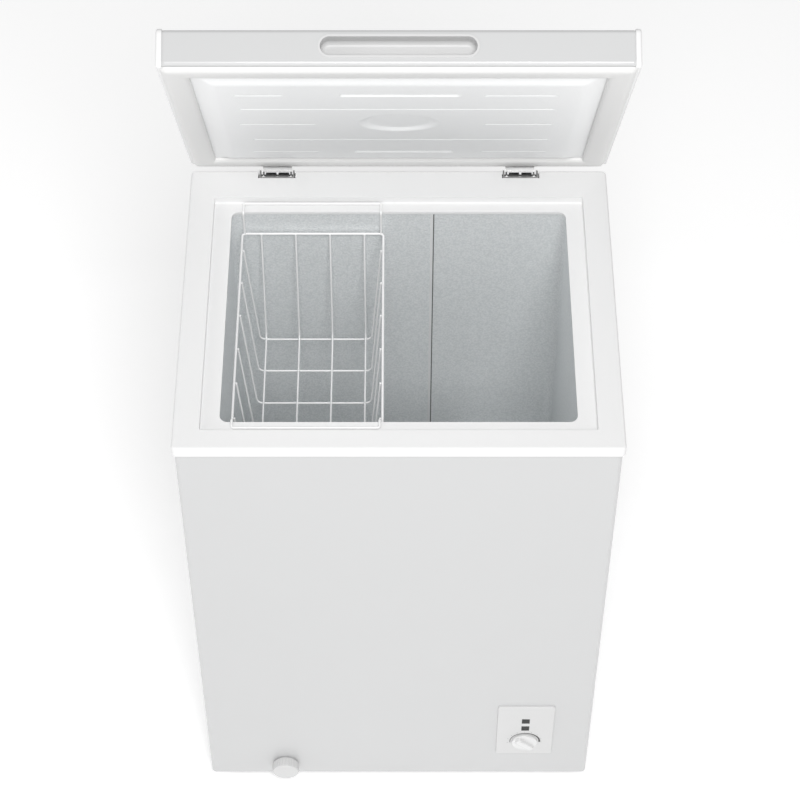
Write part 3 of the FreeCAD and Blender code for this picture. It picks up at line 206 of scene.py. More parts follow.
class Finish(NodeTree):
    """A material for one finish, named for what it is on the freezer."""

    def __init__(self, name, roughness=0.4, metallic=0.0, **fixed):
        self.material = bpy.data.materials.new(name)
        self.material.use_nodes = True
        self.tree = self.material.node_tree
        self.shader = self.tree.nodes["Principled BSDF"]
        self.set(Roughness=roughness, Metallic=metallic, **fixed)
        self.point = self.node("TexCoord", output="Object")

    def set(self, **values):
        for key, value in values.items():
            self.feed(self.shader.inputs[key.replace("_", " ")], value)

    def noise(self, grain, detail=2.0, roughness=0.5, point=None):
        """Noise whose blobs are about `grain` metres across."""
        return self.node("TexNoise", {}, {"Vector": point or self.point, "Scale": 1.0 / grain,
                                          "Detail": detail, "Roughness": roughness})

    def cells(self, grain, feature="F1", point=None):
        return self.node("TexVoronoi", {"feature": feature}, {"Vector": point or self.point,
                                                              "Scale": 1.0 / grain})

    def mix(self, amount, first, second):
        return self.node("Mix", {"data_type": "RGBA"}, {0: amount, 6: first, 7: second}, output=2)

    def stretched(self, *scale):
        return self.node("Mapping", {}, {"Vector": self.point, "Scale": scale})

    def axis(self, index):
        return self.node("SeparateXYZ", {}, {0: self.point}, output=index)

    def emboss(self, height, depth, after=None):
        """Bump from a height between 0 and 1, `depth` metres deep."""
        feeds = {"Height": height, "Distance": depth, "Strength": 1.0}
        if after is not None:
            feeds["Normal"] = after
        return self.node("Bump", {}, feeds)


def grey(value, tint=(1.0, 1.0, 1.0)):
    return (value * tint[0], value * tint[1], value * tint[2], 1.0)


# %% [markdown]
# ## The white finishes
# Nearly everything is white, so the finishes differ in gloss and in their finest relief. Enamelled sheet
# steel has a faint orange-peel ripple and a clear gloss. Moulded plastic is a little duller, with a fine
# spark-eroded grain. Both carry a hardly visible cloudiness, because no large surface is one even colour.
# The handle cup and the bezel of the controls are a shade darker than the rest.

# %% Enamel and mouldings
def white_finish(name, level, tint, roughness, grain, depth, coat=0.0):
    finish = Finish(name, Coat_Weight=coat, Coat_Roughness=0.12)
    cloud = finish.noise(120 * MM, 3.0)
    finish.set(Base_Color=finish.mix(cloud, grey(level, tint), grey(level * 0.985, tint)))
    smear = finish.noise(26 * MM, 4.0, 0.6)
    finish.set(Roughness=roughness - 0.04 + 0.08 * smear)
    finish.set(Normal=finish.emboss(finish.noise(grain), depth))
    return finish.material


COOL = (0.992, 0.997, 1.0)
WARM = (1.0, 0.997, 0.99)
enamel = white_finish("white_enamel", 0.57, COOL, 0.34, 2.2 * MM, 0.012 * MM, coat=0.35)
moulded = white_finish("white_moulding", 0.79, (1.0, 1.0, 1.0), 0.42, 0.9 * MM, 0.01 * MM)
lid_liner_white = white_finish("lid_liner_moulding", 0.90, COOL, 0.45, 0.8 * MM, 0.015 * MM)
bezel_white = white_finish("bezel_moulding", 0.63, (1.0, 1.0, 1.0), 0.38, 0.7 * MM, 0.01 * MM)
cup_white = white_finish("handle_cup_moulding", 0.60, (1.0, 1.0, 1.0), 0.40, 0.9 * MM, 0.01 * MM)
knob_white = white_finish("knob_moulding", 0.72, (1.0, 1.0, 1.0), 0.25, 1.1 * MM, 0.006 * MM, coat=0.3)
seal_white = white_finish("seal_vinyl", 0.74, WARM, 0.5, 1.4 * MM, 0.02 * MM)
wire_white = white_finish("coated_wire", 0.84, (1.0, 1.0, 1.0), 0.3, 1.6 * MM, 0.02 * MM, coat=0.2)
print("white finishes ready")

# %% [markdown]
# ## The stucco aluminium of the tank
# The tank is folded from aluminium sheet that has been rolled with a stucco pattern: shallow, uneven
# pimples two or three millimetres across, which keep the thin sheet stiff and hide scratches. Two sizes of
# cell noise, bent by a little ordinary noise so that no cell looks drawn, make the relief. The same relief
# tints the metal, because the dips hold less light, and patches of cloudy roughness break up the
# reflections. The narrow strip where the sheet's two edges lap is plainer, with a dark line of painted
# shade along its free edge, standing for the shade at the step of the lap.

# %% Stucco sheet
def stucco_finish():
    finish = Finish("stucco_aluminium", metallic=0.3)
    wobble = finish.node("TexNoise", {}, {"Vector": finish.point, "Scale": 1.0 / (5 * MM)}, output="Color")
    bent = finish.node("VectorMath", {"operation": "MULTIPLY_ADD"},
                       {0: wobble, 1: (1.6 * MM,) * 3, 2: finish.point})
    pimples = finish.cells(2.6 * MM, "SMOOTH_F1", bent)
    fine = finish.cells(1.5 * MM, "F1", bent)
    relief = 0.7 * pimples + 0.3 * fine
    height = relief.ramp((0.1, 1.0), (0.62, 0.0))
    cloud = finish.noise(60 * MM, 3.0)
    colour = finish.mix(height, grey(0.80, (0.97, 1.0, 1.01)), grey(0.96, (0.985, 1.0, 1.005)))
    finish.set(Base_Color=colour, Roughness=0.36 + 0.12 * cloud, Normal=finish.emboss(height, 0.35 * MM))
    return finish.material


stucco = stucco_finish()
# width of the painted shade line along the lap strip's free edge
PAINTED_SHADE_WIDTH = 1.3 * MM


def lap_edge_finish():
    """Bare sheet for the lap seam, with a line of painted shade along its free edge."""
    finish = Finish("liner_lap_edge", roughness=0.45, metallic=0.3)
    free_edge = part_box("liner_seam_strip")[1].x
    # painted shade: the last 1.3 mm before the free edge is near black, standing for the shade at the lap's step
    painted_shade_line = finish.axis(0) > free_edge - PAINTED_SHADE_WIDTH
    sheet = finish.mix(finish.noise(30 * MM), grey(0.84), grey(0.92))
    finish.set(Base_Color=finish.mix(painted_shade_line, sheet, grey(0.10)))
    return finish.material

# %% [markdown]
# ## Metals, rubber and the dark pieces
# The hinges, the back panel and the base pan are zinc plated, with soft spangle patches. Screws are
# brighter. Springs are dark oiled wire. The patches on the drawn aluminium tube are stretched. The foam is
# a cream rigid foam of fine closed cells, the compressor a black painted can, and the feet and grommets
# black rubber.

# %% Metals
def metal_finish(name, light, dark, roughness, patch, stretch=(1.0, 1.0, 1.0), depth=0.01 * MM):
    finish = Finish(name, metallic=1.0)
    along = finish.stretched(*stretch)
    spangle = finish.noise(patch, 3.0, 0.55, along)
    finish.set(Base_Color=finish.mix(spangle, dark, light), Roughness=roughness - 0.08 + 0.16 * spangle)
    finish.set(Normal=finish.emboss(finish.noise(patch / 6, 2.0, 0.5, along), depth))
    return finish.material


zinc = metal_finish("zinc_plate", grey(0.62), grey(0.44), 0.40, 7 * MM)
screw_metal = metal_finish("bright_screw", grey(0.88), grey(0.72), 0.25, 2 * MM)
spring_metal = metal_finish("oiled_spring_wire", grey(0.20), grey(0.08), 0.34, 3 * MM)
aluminium = metal_finish("drawn_aluminium", grey(0.80), grey(0.68), 0.38, 10 * MM, (1.0, 1.0, 0.3))
copper = metal_finish("drawn_copper", (0.86, 0.48, 0.32, 1.0), (0.62, 0.30, 0.19, 1.0), 0.32, 9 * MM)
print("metals ready")


# %% Dark pieces, foam and rubber
def plain_finish(name, light, dark, roughness, patch, grain, depth, coat=0.0):
    finish = Finish(name, Coat_Weight=coat)
    cloud = finish.noise(patch, 3.0)
    finish.set(Base_Color=finish.mix(cloud, dark, light), Roughness=roughness - 0.05 + 0.1 * cloud)
    finish.set(Normal=finish.emboss(finish.noise(grain, 3.0, 0.6), depth))
    return finish.material


black_paint = plain_finish("black_can_paint", grey(0.035), grey(0.018), 0.38, 30 * MM, 2 * MM, 0.03 * MM, 0.2)
black_moulded = plain_finish("black_moulding", grey(0.04), grey(0.022), 0.55, 20 * MM, 0.8 * MM, 0.02 * MM)
grey_moulded = plain_finish("grey_moulding", grey(0.42), grey(0.36), 0.5, 20 * MM, 0.9 * MM, 0.02 * MM)
rubber = plain_finish("foot_rubber", grey(0.05), grey(0.03), 0.75, 12 * MM, 0.7 * MM, 0.04 * MM)
jacket = plain_finish("wire_jacket", grey(0.7), grey(0.62), 0.5, 9 * MM, 1.2 * MM, 0.02 * MM)
lamp_window = plain_finish("smoked_lamp_window", grey(0.012), grey(0.008), 0.5, 4 * MM, 3 * MM, 0.01 * MM)
print_ink = plain_finish("printed_ink", grey(0.06), grey(0.03), 0.6, 3 * MM, 0.5 * MM, 0.01 * MM)


def foam_finish():
    finish = Finish("cream_foam", roughness=0.9)
    cells = finish.cells(0.9 * MM)
    cloud = finish.noise(25 * MM, 3.0)
    light, dark = (0.88, 0.80, 0.60, 1.0), (0.80, 0.71, 0.50, 1.0)
    finish.set(Base_Color=finish.mix(cloud, light, dark), Normal=finish.emboss(cells, 0.25 * MM))
    return finish.material


foam = foam_finish()

# %% [markdown]
# ## The floor
# One wide pale sheet. A little emission lifts the shade under the freezer to nearly the floor's own white.

# %% Floor
FLOOR_SIDE, FLOOR_GLOW = 60.0, 0.30


def floor_finish():
    finish = Finish("studio_floor", roughness=0.9, Emission_Color=grey(1.0), Emission_Strength=FLOOR_GLOW)
    finish.set(Base_Color=finish.mix(finish.noise(0.8, 2.0), grey(0.93), grey(0.915)))
    return finish.material


def mesh_piece(name, points, faces, material):
    """A mesh object at the origin whose place is in its points."""
    mesh = bpy.data.meshes.new(name)
    mesh.from_pydata([tuple(p) for p in points], [], [tuple(f) for f in faces])
    mesh.update()
    mesh.materials.append(material)
    piece = bpy.data.objects.new(name, mesh)
    bpy.context.collection.objects.link(piece)
    return piece


half_floor = FLOOR_SIDE / 2
floor = mesh_piece("studio_floor", [(-half_floor, -half_floor, 0), (half_floor, -half_floor, 0),
                                    (half_floor, half_floor, 0), (-half_floor, half_floor, 0)],
                   [(0, 1, 2, 3)], floor_finish())
print("floor", FLOOR_SIDE, "m square")

# %% [markdown]
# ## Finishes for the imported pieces
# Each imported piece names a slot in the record. One table turns slots into the finishes above, so that every
# piece is dressed, hidden ones too, since the freezer may be taken apart in a viewer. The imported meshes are
# never touched: only their material slots are filled.

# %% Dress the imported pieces
SLOT_FINISH = {
    "white_enamel": enamel, "white_plastic": moulded, "lid_liner": lid_liner_white,
    "panel_plastic": bezel_white, "knob_plastic": knob_white, "gasket_vinyl": seal_white,
    "tank_aluminium": stucco, "tube_aluminium": aluminium, "tube_copper": copper,
    "tube_steel": black_paint, "foam_cream": foam, "zinc_steel": zinc, "screw_steel": screw_metal,
    "spring_steel": spring_metal, "basket_wire": wire_white, "compressor_black": black_paint,
    "black_plastic": black_moulded, "lamp_window": lamp_window, "grey_plastic": grey_moulded,
    "foot_rubber": rubber, "wire_jacket": jacket,
}
slot_of = {part["node"]: part["material_slot"] for part in frame["record"]["subparts"]}


def dress(node, material):
    mesh = frame["nodes"][node].data
    mesh.materials.clear()
    mesh.materials.append(material)


for node in frame["nodes"]:
    dress(node, SLOT_FINISH[slot_of[node]])
dress("handle_cup", cup_white)
dress("liner_seam_strip", lap_edge_finish())
print(len(frame["nodes"]), "packed pieces dressed")

# %% [markdown]
# ## Helpers for new pieces
# `finish_piece` closes a new piece: it smooths the mesh where faces meet at a shallow angle, makes the
# piece ride on its body and hides the imported nodes it stands for.

# %% Finish a piece
def finish_piece(piece, body, slot, *nodes, smooth=40.0):
    mesh = piece.data
    if smooth:
        limit = math.radians(smooth)
        form = bmesh.new()
        form.from_mesh(mesh)
        for face in form.faces:
            face.smooth = True
        for edge in form.edges:
            edge.smooth = len(edge.link_faces) == 2 and edge.calc_face_angle(0.0) < limit
        form.to_mesh(mesh)
        form.free()
    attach(piece, body)
    if nodes:
        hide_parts(*nodes)
    print(f"{piece.name}: {len(mesh.polygons)} faces on {body}")
    return piece


def smoothstep(t):
    t = np.clip(t, 0.0, 1.0)
    return t * t * (3.0 - 2.0 * t)


# %% [markdown]
# ## The panel under the lid
# The lid's inside is one vacuum-formed plastic sheet. It stands proud of the rim by a few millimetres with
# a gently sloping border, and rows of narrow grooves and one oval dish stiffen it. Such a shape is a height
# over a plane, so the panel is a grid whose points are moved by one height function. The grid lines crowd
# together where a groove needs them and spread out where the sheet is flat, which keeps the mesh small.

# %% Height of the panel
PANEL_INSET = 33 * MM                    # from the outer edge of the seal to the edge of the panel
panel_half = Vector((seal_high.x - PANEL_INSET, seal_high.y - PANEL_INSET))
PANEL_RISE = 7.0 * MM
PANEL_SLOPE = 26.0 * MM
PANEL_CORNER = 14 * MM
SHEET_THICKNESS = 1.2 * MM
THIN, WIDE = (2.1 * MM, 1.3 * MM), (5.4 * MM, 3.0 * MM)     # half width and depth of a groove
# left end, right end, distance in front of the lid's middle, kind; in millimetres
GROOVES = [
    (-193, -136, 131, THIN), (-70, 73, 131, WIDE), (101, 186, 131, THIN),
    (-190, 186, 70, THIN),
    (-195, -102, -1, THIN), (105, 188, -1, THIN),
    (-182, 188, -76, THIN),
    (-187, -102, -139, THIN), (-58, 71, -139, WIDE), (105, 188, -139, THIN),
]
DISH_X, DISH_Y, DISH_DEPTH, DISH_FRONT = 50 * MM, 41 * MM, 3.6 * MM, 5 * MM
DISH_SLOPE = 0.26                        # share of the dish's half size


def inside_distance(x, y, half_x, half_y, radius):
    """How far a point is inside a rectangle with rounded corners."""
    over_x, over_y = np.abs(x) - (half_x - radius), np.abs(y) - (half_y - radius)
    outside = np.hypot(np.maximum(over_x, 0), np.maximum(over_y, 0))
    return radius - outside - np.minimum(np.maximum(over_x, over_y), 0)


def panel_height(x, y):
    """How far the sheet stands out of the rim's plane, downwards when the lid is shut."""
    rise = smoothstep(inside_distance(x, y, panel_half.x, panel_half.y, PANEL_CORNER) / PANEL_SLOPE)
    height = PANEL_RISE * rise
    for left, right, front, (half_width, depth) in GROOVES:
        along = np.clip(x, left * MM + half_width, right * MM - half_width)
        away = np.hypot(x - along, y + front * MM)
        height = height - depth * smoothstep((half_width + 0.5 * MM - away) / half_width)
    oval = np.hypot(x / DISH_X, (y + DISH_FRONT) / DISH_Y)
    return height - DISH_DEPTH * smoothstep((1.0 - oval) / DISH_SLOPE)


def crowded(low, high, coarse, fine_spans):
    """Grid lines from low to high, closer together inside the spans (low, high, step)."""
    lines = set(np.round(np.linspace(low, high, int((high - low) / coarse) + 1), 6))
    for start, end, step in fine_spans:
        lines = {v for v in lines if not start <= v <= end}
        lines |= set(np.round(np.arange(start, end + step / 2, step), 6))
    return np.array(sorted(lines))


rows = [(-(front + 7) * MM, -(front - 7) * MM, 0.9 * MM) for front in (131, 70, -76, -139)]
rows.append((-(DISH_FRONT + DISH_Y + 1 * MM), -(DISH_FRONT - DISH_Y - 1 * MM), 1.3 * MM))
ends = sorted({end for groove in GROOVES for end in groove[:2]})
columns = [((end - 4) * MM, (end + 4) * MM, 1.0 * MM) for end in ends]
columns.append((-DISH_X - 2 * MM, DISH_X + 2 * MM, 2.2 * MM))
FLANGE = 8 * MM                          # runs on under the seal
COARSE_STEP = 3.2 * MM
grid_x = crowded(-panel_half.x - FLANGE, panel_half.x + FLANGE, COARSE_STEP, columns)
grid_y = crowded(-panel_half.y - FLANGE, panel_half.y + FLANGE, COARSE_STEP, rows)
print("panel grid", len(grid_x), "by", len(grid_y))


# %% Build the panel
def lid_panel():
    x, y = np.meshgrid(grid_x, grid_y)
    z = lid_low.z - panel_height(x, y)
    wide = len(grid_x)
    points = [LID_OPEN @ Vector(p) for p in zip(x.ravel(), y.ravel(), z.ravel())]
    faces = [(r * wide + c, (r + 1) * wide + c, (r + 1) * wide + c + 1, r * wide + c + 1)
             for r in range(len(grid_y) - 1) for c in range(wide - 1)]
    piece = mesh_piece("lid_liner_sheet", points, faces, lid_liner_white)
    shell = piece.modifiers.new("sheet", "SOLIDIFY")
    shell.thickness = SHEET_THICKNESS
    shell.offset = -1.0
    return piece


finish_piece(lid_panel(), "lid", "lid_liner", "lid_inner_panel", smooth=60)

# %% [markdown]
# ## The lid's seal
# The seal is one soft vinyl section that holds a magnet strip, cut at 45 degrees and welded at the corners.
# The section is drawn once, as points by distance from the outer edge and by height, and carried round the
# lid: each point gives one closed loop, and neighbouring loops are joined by faces. A fold near the outer
# edge is the bellows that lets the magnet reach for the steel.

# %% Seal section carried round the lid
SEAL_SECTION = [(0.0, 0.2), (0.2, 1.6), (1.4, 3.0), (1.9, 3.3), (2.2, 3.5), (3.4, 5.0), (5.4, 6.0),
                (8.5, 6.5), (13.0, 6.65), (20.0, 6.65), (25.5, 6.45), (28.6, 5.8), (30.4, 4.6), (31.1, 3.2),
                (31.3, 1.4), (31.3, 0.2)]       # millimetres
SEAL_CORNER, TIGHTEST_CORNER = 8 * MM, 0.8 * MM


def corner_loop(half_x, half_y, radius, steps=6):
    """Points round a rectangle with rounded corners, anticlockwise from above."""
    points = []
    for quarter, (sx, sy) in enumerate(((1, 1), (-1, 1), (-1, -1), (1, -1))):
        for n in range(steps + 1):
            angle = math.radians(90 * (quarter + n / steps))
            points.append((sx * (half_x - radius) + radius * math.cos(angle),
                           sy * (half_y - radius) + radius * math.sin(angle)))
    return points


def lid_seal():
    loops = []
    for inward, height in SEAL_SECTION:
        inward, height = inward * MM, height * MM
        radius = max(SEAL_CORNER - inward, TIGHTEST_CORNER)
        loop = corner_loop(seal_high.x - inward, seal_high.y - inward, radius)
        loops.append([LID_OPEN @ Vector((x, y, lid_low.z - height)) for x, y in loop])
    count = len(loops[0])
    faces = [(a * count + n, a * count + (n + 1) % count, b * count + (n + 1) % count, b * count + n)
             for a, b in zip(range(len(loops)), [*range(1, len(loops)), 0]) for n in range(count)]
    return mesh_piece("lid_seal", [p for loop in loops for p in loop], faces, seal_white)


def outward(piece):
    """Points every face of a closed piece outwards."""
    form = bmesh.new()
    form.from_mesh(piece.data)
    bmesh.ops.remove_doubles(form, verts=form.verts, dist=0.005 * MM)
    bmesh.ops.recalc_face_normals(form, faces=form.faces)
    form.to_mesh(piece.data)
    form.free()
    return piece


finish_piece(outward(lid_seal()), "lid", "gasket_vinyl", "lid_gasket", smooth=50)

# %% [markdown]
# ## End mouldings of the lid
# At each end of the lid a narrow moulding grips the folded steel. It stands a little proud of the front and
# the top, with a fine shadow line beside it. It is a loop like the seal's, lying in the side plane: the
# lid's own rounded outline, grown slightly, with a small step for the shadow line.

# %% End mouldings
END_SECTION = [(0.0, -6.0), (0.9, -6.0), (1.5, -5.6), (1.7, -4.8), (1.7, -1.6), (1.3, -0.4), (0.4, 0.5),
               (-1.2, 1.0), (-5.0, 1.2)]        # growth past the lid's outline, distance past its end; mm
END_CORNER, END_CORNER_LEAST = 5.5, 0.6         # millimetres


def end_moulding(side):
    middle_y, middle_z = (lid_low.y + lid_high.y) / 2, (lid_low.z + lid_high.z) / 2
    half_y, half_z = (lid_high.y - lid_low.y) / 2, (lid_high.z - lid_low.z) / 2
    loops = []
    for grow, past in END_SECTION:
        radius = max(END_CORNER + grow, END_CORNER_LEAST) * MM
        loop = corner_loop(half_y + grow * MM, half_z + grow * MM, radius)
        loops.append([LID_OPEN @ Vector((side * (lid_high.x + past * MM), middle_y + u, middle_z + v))
                      for u, v in loop])
    count = len(loops[0])
    faces = [(a * count + n, a * count + (n + 1) % count, (a + 1) * count + (n + 1) % count,
              (a + 1) * count + n) for a in range(len(loops) - 1) for n in range(count)]
    faces.append(tuple(range(count)))
    faces.append(tuple((len(loops) - 1) * count + n for n in range(count)))
    name = "moulding_left" if side < 0 else "moulding_right"
    return outward(mesh_piece(name, [p for loop in loops for p in loop], faces, moulded))


for side in (-1, 1):
    finish_piece(end_moulding(side), "lid", "white_plastic", "lid_end_left" if side < 0 else "lid_end_right",
                 smooth=35)

# %% [markdown]
# ## Geometry recipes
# What repeats is made with Geometry Nodes: one screw head, one turn of a spring or one weld is described
# once, and the recipe copies it onto the points of a small mesh. `Recipe` builds such a tree with named
# inputs, and `grow` runs it on an object, keeps the result as a plain mesh and takes the modifier away
# again.

# %% Recipes and how they are run
class Recipe(NodeTree):
    """A Geometry Nodes tree with named sizes; it takes points and gives geometry."""

    prefix = "GeometryNode"

    def __init__(self, name, **sizes):
        self.tree = bpy.data.node_groups.new(name, "GeometryNodeTree")
        faces = self.tree.interface
        faces.new_socket("Geometry", in_out="INPUT", socket_type="NodeSocketGeometry")
        self.named = {}
        for label, value in sizes.items():
            kind = "Vector" if isinstance(value, tuple) else "Int" if isinstance(value, int) else "Float"
            socket = faces.new_socket(label, in_out="INPUT", socket_type="NodeSocket" + kind)
            socket.default_value = value
            self.named[label] = socket.identifier
        faces.new_socket("Geometry", in_out="OUTPUT", socket_type="NodeSocketGeometry")
        self.start = self.tree.nodes.new("NodeGroupInput")
        self.points = Signal(self, self.start.outputs["Geometry"])

    def size(self, label):
        return Signal(self, self.start.outputs[label])

    def finish(self, geometry, material):
        real = self.node("RealizeInstances", feeds={"Geometry": geometry})
        dressed = self.node("SetMaterial", feeds={"Geometry": real, "Material": material})
        end = self.tree.nodes.new("NodeGroupOutput")
        self.tree.links.new(dressed.socket, end.inputs["Geometry"])
        return self


def grow(name, recipe, points, **sizes):
    """Runs a recipe on some points and returns the result as a plain mesh object."""
    seedling = bpy.data.meshes.new(name + "_points")
    seedling.from_pydata([tuple(p) for p in points], [], [])
    piece = bpy.data.objects.new(name, seedling)
    bpy.context.collection.objects.link(piece)
    modifier = piece.modifiers.new(recipe.tree.name, "NODES")
    modifier.node_group = recipe.tree
    for label, value in sizes.items():
        modifier[recipe.named[label]] = value
    ready = piece.evaluated_get(bpy.context.evaluated_depsgraph_get())
    mesh = bpy.data.meshes.new_from_object(ready)
    piece.modifiers.clear()
    piece.data = mesh
    bpy.data.meshes.remove(seedling)
    return piece


# %% [markdown]
# ## Screw heads
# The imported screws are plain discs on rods. A real pan head is domed and has a cross recess, which catches
# the light at once. The recipe makes a flattened ball cut off at its base, takes two crossed wedges out of
# it with one Boolean, adds the shank and copies the screw to each place, turned to face the way it was
# driven from.

# %% Screw recipe
def screw_recipe():
    recipe = Recipe("pan_head_screw", Head=4.2 * MM, Rise=2.2 * MM, Shank=1.8 * MM, Length=8.0 * MM,
                    Facing=(0.0, 1.0, 0.0))
    head, rise = recipe.size("Head"), recipe.size("Rise")
    ball = recipe.node("MeshUVSphere", feeds={"Segments": 28, "Rings": 14, "Radius": 1.0})
    flat = recipe.node("ShaderNodeCombineXYZ", feeds={0: head, 1: head, 2: rise})
    dome = recipe.node("Transform", feeds={"Geometry": ball, "Scale": flat})
    keep_low = recipe.node("MeshCube", feeds={"Size": (1.0, 1.0, 1.0)})
    block = recipe.node("ShaderNodeCombineXYZ", feeds={0: 4 * head, 1: 4 * head, 2: 4 * head})
    under = recipe.node("ShaderNodeCombineXYZ", feeds={2: -2.0 * head})
    base = recipe.node("Transform", feeds={"Geometry": keep_low, "Scale": block, "Translation": under})
    bars = []
    for turn in (0.0, math.pi / 2):
        bar = recipe.node("ShaderNodeCombineXYZ", feeds={0: 1.15 * head, 1: 0.2 * head, 2: rise})
        lift = recipe.node("ShaderNodeCombineXYZ", feeds={2: 0.98 * rise})
        cube = recipe.node("MeshCube", feeds={"Size": (1.0, 1.0, 1.0)})
        bars.append(recipe.node("Transform", feeds={"Geometry": cube, "Scale": bar, "Translation": lift,
                                                    "Rotation": (0.0, 0.0, turn)}))
    node = recipe.tree.nodes.new("GeometryNodeMeshBoolean")
    node.operation = "DIFFERENCE"
    recipe.feed(node.inputs["Mesh 1"], dome)
    for tool in (base, *bars):
        recipe.tree.links.new(tool.socket, node.inputs["Mesh 2"])
    shank = recipe.node("MeshCylinder", feeds={"Vertices": 20, "Radius": recipe.size("Shank"),
                                               "Depth": recipe.size("Length")})
    sunk = recipe.node("ShaderNodeCombineXYZ", feeds={2: -0.5 * recipe.size("Length")})
    shank = recipe.node("Transform", feeds={"Geometry": shank, "Translation": sunk})
    screw = recipe.tree.nodes.new("GeometryNodeJoinGeometry")
    for part in (Signal(recipe, node.outputs[0]), shank):
        recipe.tree.links.new(part.socket, screw.inputs[0])
    aimed = recipe.node("FunctionNodeAlignRotationToVector", {"axis": "Z"}, {"Vector": recipe.size("Facing")})
    copies = recipe.node("InstanceOnPoints", feeds={
        "Points": recipe.points, "Instance": Signal(recipe, screw.outputs[0]), "Rotation": aimed})
    return recipe.finish(copies, screw_metal)


pan_head = screw_recipe()


def islands(node):
    """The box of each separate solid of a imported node."""
    form = bmesh.new()
    form.from_mesh(frame["nodes"][node].data)
    bmesh.ops.remove_doubles(form, verts=form.verts, dist=0.01 * MM)
    left, boxes = set(form.verts), []
    while left:
        found, queue = set(), [left.pop()]
        while queue:
            vert = queue.pop()
            found.add(vert)
            for edge in vert.link_edges:
                other = edge.other_vert(vert)
                if other in left:
                    left.discard(other)
                    queue.append(other)
        points = np.array([vert.co for vert in found])
        boxes.append((points.min(0), points.max(0)))
    form.free()
    return boxes


# %% Screws of the hinges, the grille and the feet
HEAD_SPREAD = 16 * MM                    # wider than any head, closer than any two screws


def screw_places(node, facing, rise, turned=False):
    """The point under each screw's head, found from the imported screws."""
    places = []
    shut = LID_OPEN.inverted() if turned else Matrix.Identity(4)
    points = [shut @ v.co for v in frame["nodes"][node].data.vertices]
    top = max(p.dot(facing) for p in points)
    near = [p for p in points if p.dot(facing) > top - 0.1 * MM]
    while near:
        first = near[0]
        group = [p for p in near if (p - first).length < HEAD_SPREAD]
        near = [p for p in near if (p - first).length >= HEAD_SPREAD]
        low = Vector([min(p[k] for p in group) for k in range(3)])
        high = Vector([max(p[k] for p in group) for k in range(3)])
        places.append((low + high) / 2 - rise * facing)
    return [LID_OPEN @ p for p in places] if turned else places


REARWARDS = Vector((0.0, 1.0, 0.0))
DOWNWARDS = Vector((0.0, 0.0, -1.0))
for name, node, body, facing, turned, sizes in (
        ("bracket_screw_set", "bracket_screws", "root", REARWARDS, False,
         {"Head": 4.2 * MM, "Rise": 2.2 * MM, "Shank": 1.8 * MM, "Length": 8 * MM}),
        ("leaf_screw_set", "leaf_screws", "lid", REARWARDS, True,
         {"Head": 4.2 * MM, "Rise": 2.2 * MM, "Shank": 1.8 * MM, "Length": 9 * MM}),
        ("grille_screw_set", "grille_screws", "root", REARWARDS, False,
         {"Head": 3.4 * MM, "Rise": 1.8 * MM, "Shank": 1.5 * MM, "Length": 6 * MM}),
        ("foot_screw_set", "foot_screws", "root", DOWNWARDS, False,
         {"Head": 6.0 * MM, "Rise": 3.0 * MM, "Shank": 3.0 * MM, "Length": 16 * MM})):
    places = screw_places(node, facing, sizes["Rise"], turned)
    aim = (LID_OPEN.to_3x3() @ facing) if turned else facing
    screws = grow(name, pan_head, places, Facing=tuple(aim), **sizes)
    finish_piece(screws, body, "screw_steel", node, smooth=35)
    print(len(places), "screws of", node)

# %% [markdown]
# ## Hinge springs
# Each hinge holds a torsion spring round its pin, which carries most of the lid's weight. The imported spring
# is a plain sleeve. The recipe winds a wire into a helix along X on each place and gives it its round
# section.

# %% Springs
def spring_recipe():
    recipe = Recipe("torsion_spring", Turns=9.0, Reach=12.0 * MM, Coil=4.9 * MM, Wire=0.85 * MM)
    helix = recipe.node("CurveSpiral", feeds={
        "Resolution": 24, "Rotations": recipe.size("Turns"), "Start Radius": recipe.size("Coil"),
        "End Radius": recipe.size("Coil"), "Height": recipe.size("Reach")})
    section = recipe.node("CurvePrimitiveCircle", feeds={"Resolution": 10, "Radius": recipe.size("Wire")})
    wire = recipe.node("CurveToMesh", feeds={"Curve": helix, "Profile Curve": section, "Fill Caps": True})
    laid = recipe.node("Transform", feeds={"Geometry": wire, "Rotation": (0.0, math.pi / 2, 0.0)})
    copies = recipe.node("InstanceOnPoints", feeds={"Points": recipe.points, "Instance": laid})
    return recipe.finish(copies, spring_metal)


SPRING_GAP = 3.0 * MM                    # between the two coils of a hinge
spring_starts = []
for low, high in islands("hinge_springs"):
    middle = Vector((low + high) / 2)
    reach = (high[0] - low[0] - SPRING_GAP) / 2
    spring_starts += [Vector((low[0], middle.y, middle.z)), Vector((high[0] - reach, middle.y, middle.z))]
springs = grow("hinge_spring_coils", spring_recipe(), spring_starts, Reach=float(reach))
finish_piece(springs, "root", "spring_steel", "hinge_springs", smooth=60)
print(len(spring_starts), "coils of", round(reach / MM, 1), "mm")

# %% [markdown]
# ## Welds of the basket
# Where two wires of the basket cross they are spot welded, and the white coating pools there into a small
# soft bead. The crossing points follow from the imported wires: six wires run across and four lengthwise.

# %% Weld beads
def bead_recipe():
    recipe = Recipe("weld_beads", Radius=1.7 * MM)
    ball = recipe.node("MeshIcoSphere", feeds={"Radius": recipe.size("Radius"), "Subdivisions": 2})
    copies = recipe.node("InstanceOnPoints", feeds={"Points": recipe.points, "Instance": ball})
    return recipe.finish(copies, wire_white)


cross_low, cross_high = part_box("basket_cross_wires")
long_low, long_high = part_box("basket_long_wires")
WIRE_RADIUS = 1.25 * MM
CROSS_WIRES, LONG_WIRES = 6, 4
cross_y = np.linspace(cross_low.y + WIRE_RADIUS, cross_high.y - WIRE_RADIUS, CROSS_WIRES)
long_x = np.linspace(long_low.x + WIRE_RADIUS, long_high.x - WIRE_RADIUS, LONG_WIRES)
crossings = [(x, y, cross_low.z + 2 * WIRE_RADIUS) for x in long_x for y in cross_y]
beads = grow("basket_weld_beads", bead_recipe(), crossings)
finish_piece(beads, "basket", "basket_wire", smooth=80)
print(len(crossings), "beads")

